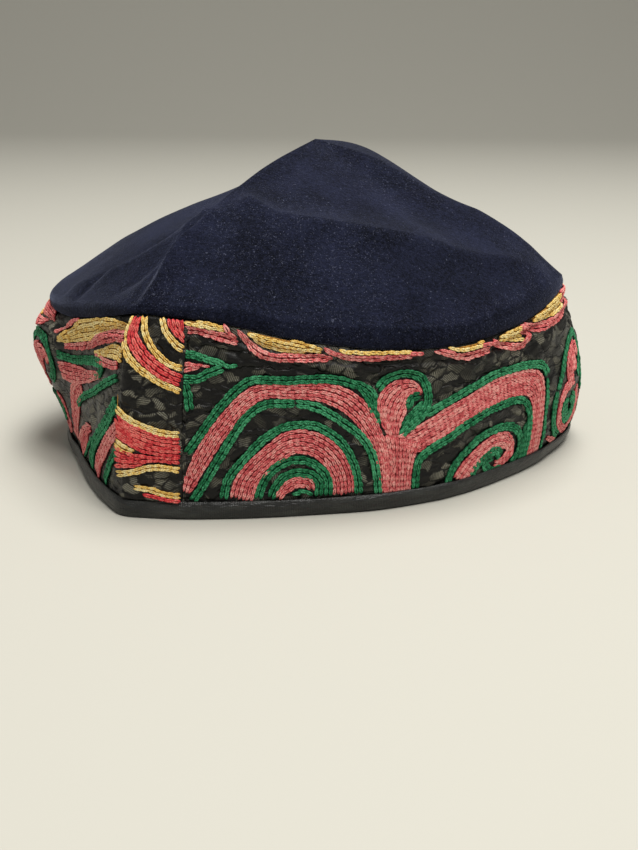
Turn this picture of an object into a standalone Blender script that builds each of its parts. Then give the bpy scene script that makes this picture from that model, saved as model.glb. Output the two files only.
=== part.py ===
"""A peaked skullcap: a soft velvet crown on an embroidered band, with a join strip and a bound rim.

The cap is a loop of upright sections. Each row of SECTIONS is one cut through the wall, from the
rim up to the peak, at an azimuth counted from +X, anticlockwise seen from above. Every length in
a row is a share of a size named below. Between rows the values follow a smooth closed curve,
which turns sharply where a row's fold says so. The front is -Y. The cap stands on its rim at
height 0, and its bounding box is centred on the Z axis.
"""

import math
from collections import namedtuple

import bmesh
import bpy
import numpy as np

# Overall sizes, in metres
RIM_HALF_WIDTH = 0.0935
RIM_HALF_DEPTH = 0.0880
BAND_HEIGHT = 0.0580
CAP_HEIGHT = 0.1110

# Where the peak stands in plan, from the middle of the rim
PEAK_X = -0.0022
PEAK_Y = -0.0110

# Cloth thicknesses, and how far the soft parts swell
BAND_WALL = 0.0026
BAND_SWELL = 0.0060
CROWN_WALL = 0.0020
CROWN_PUFF = 0.0018

# Bound rim: a strip folded over the band's lower edge
BINDING_HEIGHT = 0.0070
BINDING_CLOTH = 0.0012
BINDING_FLOOR = 0.0015
BINDING_ROUND = 0.0005

# Join strip, sewn over the band's two ends from the sharp corner on
STRIP_WALL = 0.0014
STRIP_WRAP = 0.0012
STRIP_WIDTH_AT_FOOT = 0.0205
STRIP_WIDTH_AT_TOP = 0.0160
STRIP_TOP_INSET = 0.0006
STRIP_ROWS = 10
STRIP_COLUMNS = 6

# Clearance between neighbouring pieces
GAP = 0.0003

# Mesh fineness
AZIMUTH_STEP = 4.6
BAND_ROWS = 7
EDGE_ROWS = 3
ROOF_ROWS = 10
SHARP_ANGLE = math.radians(35.0)

# rim, seam: distance from the middle, as a share of the rim's half width and half depth
# height: the seam's height, as a share of BAND_HEIGHT
# swell: how far the band bulges between rim and seam, as a share of BAND_SWELL
# belly: where that bulge is widest, as a share of the seam's height
# edge, low, half, high: the crown's rise at its edge and at 1/4, 1/2 and 3/4 of the way in to the
# peak, as shares of the rise from seam to peak
# fold: 1 where the wall turns sharply, 0 where it runs on smoothly
Section = namedtuple("Section", "azimuth rim seam height swell belly edge low half high fold")
SECTIONS = (
    Section(236, 1.180, 1.065, 1.09, 0.65, 0.68, 0.05, 0.43, 0.67, 0.86, 1.0),
    Section(249, 1.070, 1.000, 1.06, 0.30, 0.60, 0.10, 0.45, 0.65, 0.82, 0.0),
    Section(266, 0.962, 0.930, 0.94, 0.30, 0.50, 0.11, 0.50, 0.68, 0.84, 0.0),
    Section(285, 0.915, 0.905, 0.88, 0.30, 0.50, 0.11, 0.50, 0.66, 0.83, 0.0),
    Section(303, 0.890, 0.900, 0.87, 0.30, 0.50, 0.11, 0.48, 0.64, 0.82, 0.0),
    Section(322, 0.882, 0.910, 0.93, 0.40, 0.45, 0.12, 0.41, 0.60, 0.82, 0.0),
    Section(341, 0.915, 0.940, 1.07, 0.90, 0.42, 0.08, 0.40, 0.63, 0.87, 0.6),
    Section(358, 0.990, 0.930, 1.04, 1.30, 0.44, 0.06, 0.36, 0.63, 0.88, 0.0),
    Section(20, 1.000, 0.950, 1.00, 0.80, 0.44, 0.07, 0.35, 0.63, 0.90, 0.0),
    Section(56, 1.085, 1.030, 1.05, 0.30, 0.50, 0.06, 0.42, 0.70, 0.93, 0.8),
    Section(90, 0.965, 0.935, 0.96, 0.30, 0.50, 0.10, 0.35, 0.58, 0.80, 0.0),
    Section(122, 0.920, 0.925, 0.94, 0.30, 0.50, 0.10, 0.31, 0.52, 0.73, 0.0),
    Section(150, 0.965, 0.985, 0.95, 0.70, 0.60, 0.09, 0.34, 0.54, 0.71, 0.0),
    Section(175, 0.995, 1.015, 0.95, 1.30, 0.68, 0.07, 0.35, 0.54, 0.70, 0.0),
    Section(192, 0.995, 1.035, 0.93, 1.45, 0.72, 0.07, 0.33, 0.51, 0.69, 0.0),
    Section(203, 0.990, 1.025, 0.93, 0.90, 0.70, 0.09, 0.33, 0.51, 0.71, 0.4),
    Section(215, 1.030, 1.015, 0.96, 0.20, 0.60, 0.11, 0.32, 0.52, 0.74, 0.0),
    Section(226, 1.100, 1.035, 1.02, 0.20, 0.60, 0.10, 0.37, 0.57, 0.78, 0.0),
)

# A dent pressed into the band. azimuth and level say where its middle is, reach_round is in
# degrees, and depth is a share of BAND_SWELL
Dent = namedtuple("Dent", "azimuth level depth reach_round reach_up")
DENTS = (
    Dent(208, 0.50, 0.40, 8.0, 0.30),
    Dent(286, 0.70, 0.20, 9.0, 0.25),
    Dent(318, 0.60, 0.25, 9.0, 0.40),
    Dent(36, 0.45, 0.30, 12.0, 0.40),
    Dent(128, 0.50, 0.45, 14.0, 0.40),
)

# A soft crest along a line in the crown. Its ends are each an azimuth and a share of the way in
# to the peak; rise and reach are shares of the two sizes here
CREST_RISE = 0.0022
CREST_REACH = 0.0100
CREST_ROUND = 0.0030
Crest = namedtuple("Crest", "azimuth_from share_from azimuth_to share_to rise reach")
CRESTS = (
    Crest(338, 0.06, 303, 0.20, 0.9, 1.0),
    Crest(303, 0.20, 258, 0.27, 0.9, 1.0),
    Crest(206, 0.06, 233, 0.38, 1.2, 0.8),
    Crest(40, 0.10, 75, 0.25, 0.8, 1.0),
)

# name: colour, roughness
FINISHES = {
    "velvet": ((0.012, 0.015, 0.040), 0.95),
    "damask": ((0.030, 0.030, 0.028), 0.55),
    "strip_damask": ((0.034, 0.032, 0.030), 0.55),
    "binding_satin": ((0.014, 0.016, 0.015), 0.45),
}


def closed_curve(column, azimuths):
    """Values of one column of SECTIONS at the given azimuths, by cubic steps from row to row."""
    rows = sorted(SECTIONS, key=lambda row: row.azimuth)
    at = np.array([row.azimuth for row in rows], float)
    value = np.array([getattr(row, column) for row in rows], float)
    fold = np.array([row.fold for row in rows], float)
    step = np.mod(np.roll(at, -1) - at, 360.0)
    after = (np.roll(value, -1) - value) / step
    before = np.roll(after, 1)
    step_before = np.roll(step, 1)
    smooth = (before * step + after * step_before) / (step + step_before)
    leaving = smooth + fold * (after - smooth)
    arriving = smooth + fold * (before - smooth)
    turned = np.mod(np.asarray(azimuths, float) - at[0], 360.0) + at[0]
    row = np.searchsorted(at, turned, side="right") - 1
    following = (row + 1) % len(at)
    t = (turned - at[row]) / step[row]
    return (
        (1 + 2 * t) * (1 - t) ** 2 * value[row]
        + t * (1 - t) ** 2 * step[row] * leaving[row]
        + t**2 * (3 - 2 * t) * value[following]
        - t**2 * (1 - t) * step[row] * arriving[following]
    )


def stations():
    """Azimuths of the mesh's columns: every row of SECTIONS, with even steps between them."""
    marks = sorted(row.azimuth for row in SECTIONS)
    found = []
    for mark, following in zip(marks, marks[1:] + [marks[0] + 360.0]):
        steps = max(1, round((following - mark) / AZIMUTH_STEP))
        found.extend(np.linspace(mark, following, steps, endpoint=False))
    return np.mod(np.array(found), 360.0)


def plan_point(azimuth, share):
    """The plan place at a share of the rim's half sizes."""
    turn = np.radians(azimuth)
    return RIM_HALF_WIDTH * share * np.cos(turn), RIM_HALF_DEPTH * share * np.sin(turn)


def band_face(azimuth, level):
    """The band's outer face: from rim to seam, with its swell and dents.

    level is 0 at the floor and 1 at the seam.
    """
    rim = closed_curve("rim", azimuth)
    seam = closed_curve("seam", azimuth)
    belly = closed_curve("belly", azimuth)
    stretched = level ** (math.log(0.5) / np.log(belly))
    bulge = closed_curve("swell", azimuth) * np.sin(np.pi * stretched)
    for dent in DENTS:
        around = (np.mod(azimuth - dent.azimuth + 180.0, 360.0) - 180.0) / dent.reach_round
        upward = (level - dent.level) / dent.reach_up
        bulge = bulge - dent.depth * np.exp(-(around**2) - upward**2)
    share = rim + (seam - rim) * level + bulge * BAND_SWELL / RIM_HALF_WIDTH
    x, y = plan_point(azimuth, share)
    z = seam_height(azimuth) * level
    return np.stack(np.broadcast_arrays(x, y, z), -1)


def seam_height(azimuth):
    """Height of the line where the crown meets the band."""
    return closed_curve("height", azimuth) * BAND_HEIGHT


def band_row(azimuth, height):
    """The band's outer face at one height, which may be an array with a value for each azimuth."""
    return band_face(azimuth, height / seam_height(azimuth))


def moved_out(ring, distance):
    """A closed ring of points moved outward in plan, mitred so that its sides move evenly."""
    side = np.roll(ring, -1, axis=0) - ring
    side = np.stack([side[:, 1], -side[:, 0]], -1)
    side /= np.linalg.norm(side, axis=1, keepdims=True)
    middle = side + np.roll(side, 1, axis=0)
    middle /= np.linalg.norm(middle, axis=1, keepdims=True)
    stretch = 1.0 / np.sum(middle * side, axis=1)
    moved = ring.copy()
    moved[:, :2] += middle * (stretch * distance)[:, None]
    return moved


def roof_plan(azimuth, inward):
    """Plan place on the straight line from the seam in to the peak."""
    x, y = plan_point(azimuth, closed_curve("seam", azimuth))
    return np.stack([x + (PEAK_X - x) * inward, y + (PEAK_Y - y) * inward], -1)


def crest_height(plan):
    """What the soft crests add to the crown's height at places in plan."""
    added = np.zeros(len(plan))
    for crest in CRESTS:
        start = roof_plan(crest.azimuth_from, crest.share_from)
        run = roof_plan(crest.azimuth_to, crest.share_to) - start
        along = np.clip((plan - start) @ run / (run @ run), 0.0, 1.0)
        apart = np.linalg.norm(plan - start - along[:, None] * run, axis=1)
        rounded = np.hypot(apart, CREST_ROUND) - CREST_ROUND
        height = CREST_RISE * crest.rise * np.exp(-rounded / (CREST_REACH * crest.reach))
        added = np.maximum(added, height)
    return added


def roof_rise(azimuth, inward):
    """The crown's rise at a share of the way in, by cubic steps through a section's heights."""
    heights = [closed_curve(name, azimuth) for name in ("edge", "low", "half", "high")]
    knots = np.stack(heights + [np.ones(len(azimuth))])
    spacing = 1.0 / (len(knots) - 1)
    slope = np.gradient(knots, spacing, axis=0)
    first = min(int(inward / spacing), len(knots) - 2)
    t = inward / spacing - first
    return (
        (1 + 2 * t) * (1 - t) ** 2 * knots[first]
        + t * (1 - t) ** 2 * spacing * slope[first]
        + t**2 * (3 - 2 * t) * knots[first + 1]
        - t**2 * (1 - t) * spacing * slope[first + 1]
    )


def crown_rows(azimuth):
    """The crown's outer rows, from the seam over the puffed edge and in to just under the peak."""
    foot = seam_height(azimuth)
    rise = CAP_HEIGHT - foot
    edge = closed_curve("edge", azimuth)
    base = band_face(azimuth, np.ones(len(azimuth)))
    rows = []
    for step in range(EDGE_ROWS):
        up = step / EDGE_ROWS
        row = moved_out(base, CROWN_PUFF * math.sin(math.pi * up))
        row[:, 2] = foot + GAP + (rise * edge - GAP) * up
        rows.append(row)
    for step in range(ROOF_ROWS):
        inward = step / ROOF_ROWS
        plan = roof_plan(azimuth, inward)
        fade = min(1.0, 5.0 * inward) * (1.0 - inward)
        height = foot + rise * roof_rise(azimuth, inward) + fade * crest_height(plan)
        rows.append(np.column_stack([plan, height]))
    return rows


def inner_rows(rows, wall):
    """Closed rows drawn in from the face along its normals, so that the cloth is evenly thick."""
    grid = np.stack(rows)
    up = np.gradient(grid, axis=0)
    along = np.roll(grid, -1, axis=1) - np.roll(grid, 1, axis=1)
    normal = np.cross(along, up)
    normal /= np.linalg.norm(normal, axis=2, keepdims=True)
    return list(grid - wall * normal)


def sweep(rows, ring=True, tips=None):
    """Points and faces of a closed body made of rows of points.

    Neighbouring rows are joined by quads. With ring, each row is a closed loop; without, the ends
    of the rows are capped. With tips, the first and last rows close on the two points given;
    without, the last row joins the first.
    """
    count = len(rows[0])
    points = np.concatenate(rows)
    faces = []
    for row in range(len(rows) - (1 if tips is not None else 0)):
        here = row * count
        there = (row + 1) % len(rows) * count
        for column in range(count if ring else count - 1):
            beside = (column + 1) % count
            faces.append((here + column, here + beside, there + beside, there + column))
    if not ring:
        faces.append([row * count for row in range(len(rows))])
        faces.append([row * count + count - 1 for row in range(len(rows))])
    if tips is not None:
        points = np.concatenate([points, tips])
        for column in range(count):
            beside = (column + 1) % count
            last = (len(rows) - 1) * count
            faces.append((column, beside, count * len(rows)))
            faces.append((last + column, last + beside, count * len(rows) + 1))
    return points, faces


def crown_body():
    """The velvet crown, open below, its lower edge just above the band."""
    azimuth = stations()
    outer = crown_rows(azimuth)
    inner = inner_rows(outer, CROWN_WALL)
    inner[0] = moved_out(outer[0], -CROWN_WALL)
    tips = np.array([[PEAK_X, PEAK_Y, CAP_HEIGHT - CROWN_WALL], [PEAK_X, PEAK_Y, CAP_HEIGHT]])
    return sweep(inner[::-1] + outer, tips=tips)


def band_body():
    """The band's wall, its lower edge held inside the binding."""
    azimuth = stations()
    top = seam_height(azimuth)
    outer = [band_row(azimuth, BINDING_FLOOR + GAP)]
    for t in np.linspace(0, 1, BAND_ROWS):
        outer.append(band_row(azimuth, BINDING_HEIGHT + (top - BINDING_HEIGHT) * t))
    inner = [moved_out(row, -BAND_WALL) for row in outer]
    return sweep(outer + inner[::-1])


def binding_body():
    """The binding: a U around the band's lower edge, flat below, with rounded lower corners."""
    azimuth = stations()
    out = GAP + BINDING_CLOTH
    within = -BAND_WALL - GAP

    def at(height, distance):
        return moved_out(band_row(azimuth, height), distance)

    rows = [
        at(BINDING_HEIGHT, out - BINDING_ROUND),
        at(BINDING_HEIGHT - BINDING_ROUND, out),
        at(BINDING_ROUND, out),
        at(0.0, out - BINDING_ROUND),
        at(0.0, within - BINDING_CLOTH + BINDING_ROUND),
        at(BINDING_ROUND, within - BINDING_CLOTH),
        at(BINDING_HEIGHT - BINDING_ROUND, within - BINDING_CLOTH),
        at(BINDING_HEIGHT, within - BINDING_CLOTH + BINDING_ROUND),
        at(BINDING_HEIGHT, within),
        at(BINDING_FLOOR, within),
        at(BINDING_FLOOR, GAP),
        at(BINDING_HEIGHT, GAP),
    ]
    return sweep(rows)


def strip_body():
    """The join strip: a narrow patch on the band that starts just round the sharp corner."""
    corner = max(SECTIONS, key=lambda row: row.fold).azimuth
    dense = np.linspace(corner - 20.0, corner + 30.0, 501)
    first = int(np.argmin(np.abs(dense - corner)))
    outer, inner = [], []
    for t in np.linspace(0, 1, STRIP_ROWS):
        bottom = BINDING_HEIGHT + GAP
        top = seam_height(dense) - STRIP_TOP_INSET
        line = band_row(dense, bottom + (top - bottom) * t)
        side = np.diff(line, axis=0)
        length = np.concatenate([[0.0], np.cumsum(np.linalg.norm(side[:, :2], axis=1))])
        length -= length[first]
        width = STRIP_WIDTH_AT_FOOT + (STRIP_WIDTH_AT_TOP - STRIP_WIDTH_AT_FOOT) * t
        wanted = np.concatenate([[-STRIP_WRAP], np.linspace(0.0, width, STRIP_COLUMNS)])
        found = np.stack([np.interp(wanted, length, line[:, k]) for k in range(3)], -1)
        out = np.stack([side[:, 1], -side[:, 0]], -1)
        out /= np.linalg.norm(out, axis=1, keepdims=True)
        before = out[first - 1]
        after = np.stack([np.interp(wanted[1:], length[:-1], out[:, k]) for k in range(2)], -1)
        after /= np.linalg.norm(after, axis=1, keepdims=True)
        mitre = before + out[first]
        mitre /= mitre @ out[first]
        outward = np.concatenate([before[None], mitre[None], after[1:]])
        outward = np.column_stack([outward, np.zeros(len(outward))])
        inner.append(found + outward * GAP)
        outer.append(found + outward * (GAP + STRIP_WALL))
    return sweep(outer + inner[::-1], ring=False)


def add_piece(name, finish, body, parent):
    """Make one named object from points and faces, carried by the parent."""
    points, faces = body
    mesh = bpy.data.meshes.new(name)
    mesh.from_pydata(points.tolist(), [], faces)
    shape = bmesh.new()
    shape.from_mesh(mesh)
    bmesh.ops.recalc_face_normals(shape, faces=shape.faces)
    bmesh.ops.triangulate(shape, faces=shape.faces)
    shape.to_mesh(mesh)
    shape.free()
    mesh.shade_smooth()
    mesh.set_sharp_from_angle(angle=SHARP_ANGLE)
    colour, roughness = FINISHES[finish]
    material = bpy.data.materials.new(finish)
    material.use_nodes = True
    shader = material.node_tree.nodes["Principled BSDF"]
    shader.inputs["Base Color"].default_value = (*colour, 1.0)
    shader.inputs["Roughness"].default_value = roughness
    shader.inputs["Metallic"].default_value = 0.0
    mesh.materials.append(material)
    piece = bpy.data.objects.new(name, mesh)
    piece.parent = parent
    bpy.context.scene.collection.objects.link(piece)


for existing in list(bpy.data.objects):
    bpy.data.objects.remove(existing, do_unlink=True)

bodies = {
    "crown": ("velvet", crown_body()),
    "band": ("damask", band_body()),
    "join_strip": ("strip_damask", strip_body()),
    "rim_binding": ("binding_satin", binding_body()),
}
everything = np.concatenate([body[0] for _, body in bodies.values()])
box_middle = (everything.min(axis=0) + everything.max(axis=0)) / 2
cap = bpy.data.objects.new("cap", None)
cap.location = (-box_middle[0], -box_middle[1], 0.0)
bpy.context.scene.collection.objects.link(cap)
for piece_name, (piece_finish, piece_body) in bodies.items():
    add_piece(piece_name, piece_finish, piece_body, cap)
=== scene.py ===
"""Dresses the skullcap's frame: velvet crown, figured satin band with chain stitch, strip and binding."""

import logging
import math
from dataclasses import dataclass, field
from enum import Enum
from typing import Iterable, NamedTuple, Optional, Sequence, Union

import bpy
import numpy as np
from mathutils import Matrix


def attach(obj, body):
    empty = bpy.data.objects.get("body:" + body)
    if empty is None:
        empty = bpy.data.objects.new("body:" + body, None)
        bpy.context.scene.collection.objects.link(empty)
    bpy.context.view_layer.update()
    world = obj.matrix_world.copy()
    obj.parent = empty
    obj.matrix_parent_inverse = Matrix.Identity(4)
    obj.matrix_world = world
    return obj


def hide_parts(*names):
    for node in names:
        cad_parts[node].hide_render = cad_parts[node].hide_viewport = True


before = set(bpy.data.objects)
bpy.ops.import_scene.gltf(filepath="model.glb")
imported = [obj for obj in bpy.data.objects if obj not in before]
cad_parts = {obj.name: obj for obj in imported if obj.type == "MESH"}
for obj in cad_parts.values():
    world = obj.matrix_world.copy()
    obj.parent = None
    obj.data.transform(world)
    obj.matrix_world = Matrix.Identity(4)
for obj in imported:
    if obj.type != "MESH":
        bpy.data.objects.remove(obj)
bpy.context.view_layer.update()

log = logging.getLogger("skullcap")

MM = 0.001
LATTICE = 257
Colour = tuple[float, float, float]


def paint(red: int, green: int, blue: int) -> Colour:
    """Turn an ordinary screen colour, 0 to 255, into the light that a dye throws back.

    Each channel c becomes ((c/255 + 0.055) / 1.055) to the power 2.4, or c/255/12.92 where dark.

    Args:
        red: Red, 0 to 255.
        green: Green, 0 to 255.
        blue: Blue, 0 to 255.

    Returns:
        The three linear channels.
    """
    parts = [channel / 255.0 for channel in (red, green, blue)]
    return tuple(c / 12.92 if c < 0.04 else ((c + 0.055) / 1.055) ** 2.4 for c in parts)


# The cap's form


class Section(NamedTuple):
    """One upright cut through the cap's wall, its lengths as shares of CapForm's sizes."""

    azimuth: float
    rim: float
    seam: float
    height: float
    swell: float
    belly: float
    edge: float
    low: float
    half: float
    high: float
    fold: float


class Dent(NamedTuple):
    """A hollow pressed into the band."""

    azimuth: float
    level: float
    depth: float
    reach_round: float
    reach_up: float


class Fold(NamedTuple):
    """A crest, or where its rise is below 0 a crease, in the crown; every length in millimetres."""

    points: tuple[tuple[float, float], ...]
    rise: float
    reach: float
    rounding: float


SECTIONS = (
    Section(236, 1.180, 1.065, 1.09, 0.65, 0.68, 0.05, 0.43, 0.67, 0.86, 1.0),
    Section(249, 1.070, 1.000, 1.065, 0.30, 0.60, 0.10, 0.45, 0.65, 0.82, 0.0),
    Section(266, 0.962, 0.930, 0.965, 0.30, 0.50, 0.11, 0.50, 0.68, 0.84, 0.0),
    Section(285, 0.915, 0.905, 0.897, 0.30, 0.50, 0.11, 0.50, 0.66, 0.83, 0.0),
    Section(303, 0.890, 0.900, 0.890, 0.30, 0.50, 0.11, 0.48, 0.64, 0.82, 0.0),
    Section(322, 0.882, 0.910, 0.945, 0.40, 0.45, 0.12, 0.41, 0.60, 0.82, 0.0),
    Section(341, 0.915, 0.940, 1.07, 0.90, 0.42, 0.08, 0.40, 0.63, 0.87, 0.6),
    Section(358, 0.990, 0.930, 1.04, 1.30, 0.44, 0.06, 0.36, 0.63, 0.88, 0.0),
    Section(20, 1.000, 0.950, 1.00, 0.80, 0.44, 0.07, 0.35, 0.63, 0.90, 0.0),
    Section(56, 1.085, 1.030, 1.05, 0.30, 0.50, 0.06, 0.42, 0.70, 0.93, 0.8),
    Section(90, 0.965, 0.935, 0.96, 0.30, 0.50, 0.10, 0.35, 0.58, 0.80, 0.0),
    Section(122, 0.920, 0.925, 0.94, 0.30, 0.50, 0.10, 0.31, 0.52, 0.73, 0.0),
    Section(150, 0.965, 0.985, 0.95, 0.70, 0.60, 0.09, 0.34, 0.54, 0.71, 0.0),
    Section(175, 0.995, 1.015, 0.95, 1.30, 0.68, 0.07, 0.35, 0.55, 0.73, 0.0),
    Section(192, 0.995, 1.035, 0.93, 1.45, 0.72, 0.07, 0.33, 0.53, 0.73, 0.0),
    Section(203, 0.990, 1.025, 0.93, 0.90, 0.70, 0.09, 0.33, 0.53, 0.75, 0.4),
    Section(215, 1.030, 1.015, 0.96, 0.20, 0.60, 0.11, 0.32, 0.54, 0.77, 0.0),
    Section(226, 1.100, 1.035, 1.02, 0.20, 0.60, 0.10, 0.37, 0.57, 0.78, 0.0),
)

DENTS = (
    Dent(208, 0.50, 0.40, 8.0, 0.30),
    Dent(286, 0.70, 0.20, 9.0, 0.25),
    Dent(318, 0.60, 0.25, 9.0, 0.40),
    Dent(36, 0.45, 0.30, 12.0, 0.40),
    Dent(128, 0.50, 0.45, 14.0, 0.40),
)

FOLDS = (
    # the main ridge, on to the sharp crest that ends at the strip
    Fold(((1.8, -12), (-11.1, -27.1), (-21.9, -40.8), (-31.2, -55.6)), 1.0, 5.0, 1.2),
    Fold(
        ((-31.2, -55.6), (-36.4, -59.8), (-41, -63.3), (-44, -67), (-46.5, -71.8), (-50, -76), (-52, -79)),
        4.4, 4.2, 0.5,
    ),
    Fold(
        ((-38, -57.4), (-44.6, -60.4), (-48.2, -65), (-51, -71), (-54.4, -75.4), (-56, -78)),
        -3.2, 3.0, 0.7,
    ),
    # the left fold, and the hollow between the two
    Fold(
        ((-31.2, -55.6), (-39.6, -53), (-48.5, -50.5), (-56.7, -47.7), (-63.3, -45.4), (-71.7, -43),
         (-80, -36)),
        4.0, 5.0, 0.7,
    ),
    Fold(((-47.6, -59), (-55, -59.5), (-62, -60)), -3.0, 6.0, 1.6),
    Fold(((-80, -48), (-76, -44), (-71, -41.5)), -2.6, 2.2, 0.5),
    # the long crest from the right corner, and the crease under it
    Fold(
        ((-20, -52), (-12, -59), (-2, -60.4), (10.1, -59.4), (20.3, -57.8), (31.1, -55), (41.4, -51.4),
         (50.4, -47.4), (65.1, -40.2), (78, -34)),
        5.2, 7.0, 0.3,
    ),
    Fold(((-2, -65), (12, -64), (30, -60), (44, -55), (58, -48)), -1.3, 4.0, 0.8),
    Fold(((84, -24), (72, -22), (58, -19)), 2.2, 9.0, 2.0),
    # small press marks
    Fold(((-24, -68), (-29.4, -75), (-33.6, -81)), -1.5, 1.4, 0.3),
    Fold(((-6, -67), (-8, -74), (-9, -82)), -1.5, 1.4, 0.3),
    Fold(((8, -66), (7.5, -72), (7, -80)), -1.4, 1.4, 0.3),
    Fold(((32, -60), (31.4, -67), (30.6, -76)), -1.4, 1.4, 0.3),
    # behind
    Fold(((63, 49), (40, 57), (17, 58)), 2.0, 9.0, 2.0),
)


class Hem(NamedTuple):
    """How the velvet's lower edge hangs: how far it swells out and droops, in millimetres."""

    azimuth: float
    swell: float
    droop: float


HEMS = (
    Hem(150, 1.3, 0.8),
    Hem(172, 1.4, 1.6),
    Hem(190, 1.5, 1.9),
    Hem(208, 1.5, 1.4),
    Hem(222, 1.0, 0.6),
    Hem(236, 0.6, 0.3),
    Hem(262, 0.5, -0.5),
    Hem(285, 0.5, -0.7),
    Hem(303, 0.5, -0.3),
    Hem(318, 0.6, 0.5),
    Hem(330, 0.6, 1.7),
    Hem(340, 0.6, 1.7),
    Hem(352, 0.5, 0.5),
    Hem(20, 1.0, 0.6),
    Hem(60, 1.4, 0.8),
    Hem(110, 1.3, 0.8),
)


def smooth_noise(x: np.ndarray, y: np.ndarray, size: float, seed: int, around: float = 0.0) -> np.ndarray:
    """Give a soft uneven height between -1 and 1 at places on a plane.

    A lattice of seeded random heights, size apart, is joined by steps 3t^2 - 2t^3 both ways.

    Args:
        x: First coordinate.
        y: Second coordinate, in the same unit.
        size: Distance between lattice points.
        seed: Picks the lattice.
        around: Length after which the pattern repeats along x, or 0 where it doesn't.

    Returns:
        The heights.
    """
    cells = max(3, round(around / size)) if around else LATTICE
    across = around / cells if around else size
    table = np.random.default_rng(seed).uniform(-1.0, 1.0, (cells, LATTICE))
    column, row = np.floor(x / across), np.floor(y / size)
    s, t = x / across - column, y / size - row
    s, t = s * s * (3 - 2 * s), t * t * (3 - 2 * t)
    left, low = column.astype(int) % cells, row.astype(int) % LATTICE
    right, high = (left + 1) % cells, (low + 1) % LATTICE
    bottom = table[left, low] * (1 - s) + table[right, low] * s
    top = table[left, high] * (1 - s) + table[right, high] * s
    return bottom * (1 - t) + top * t


class Bumps(NamedTuple):
    """Soft unevenness: its height, the distance between its bumps, and the seed that places them."""

    height: float
    size: float
    seed: int

    def at(self, x: np.ndarray, y: np.ndarray, around: float = 0.0) -> np.ndarray:
        """Its height at places on a plane."""
        return self.height * smooth_noise(x, y, self.size, self.seed, around)


class Ripple(NamedTuple):
    """A rise, or where its height is below 0 a hollow: how high, where its middle is, how wide."""

    height: float
    middle: float
    reach: float

    def at(self, place: np.ndarray) -> np.ndarray:
        """Its height: height times e to the power -((place - middle) / reach)^2."""
        return self.height * np.exp(-(((place - self.middle) / self.reach) ** 2))


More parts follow.
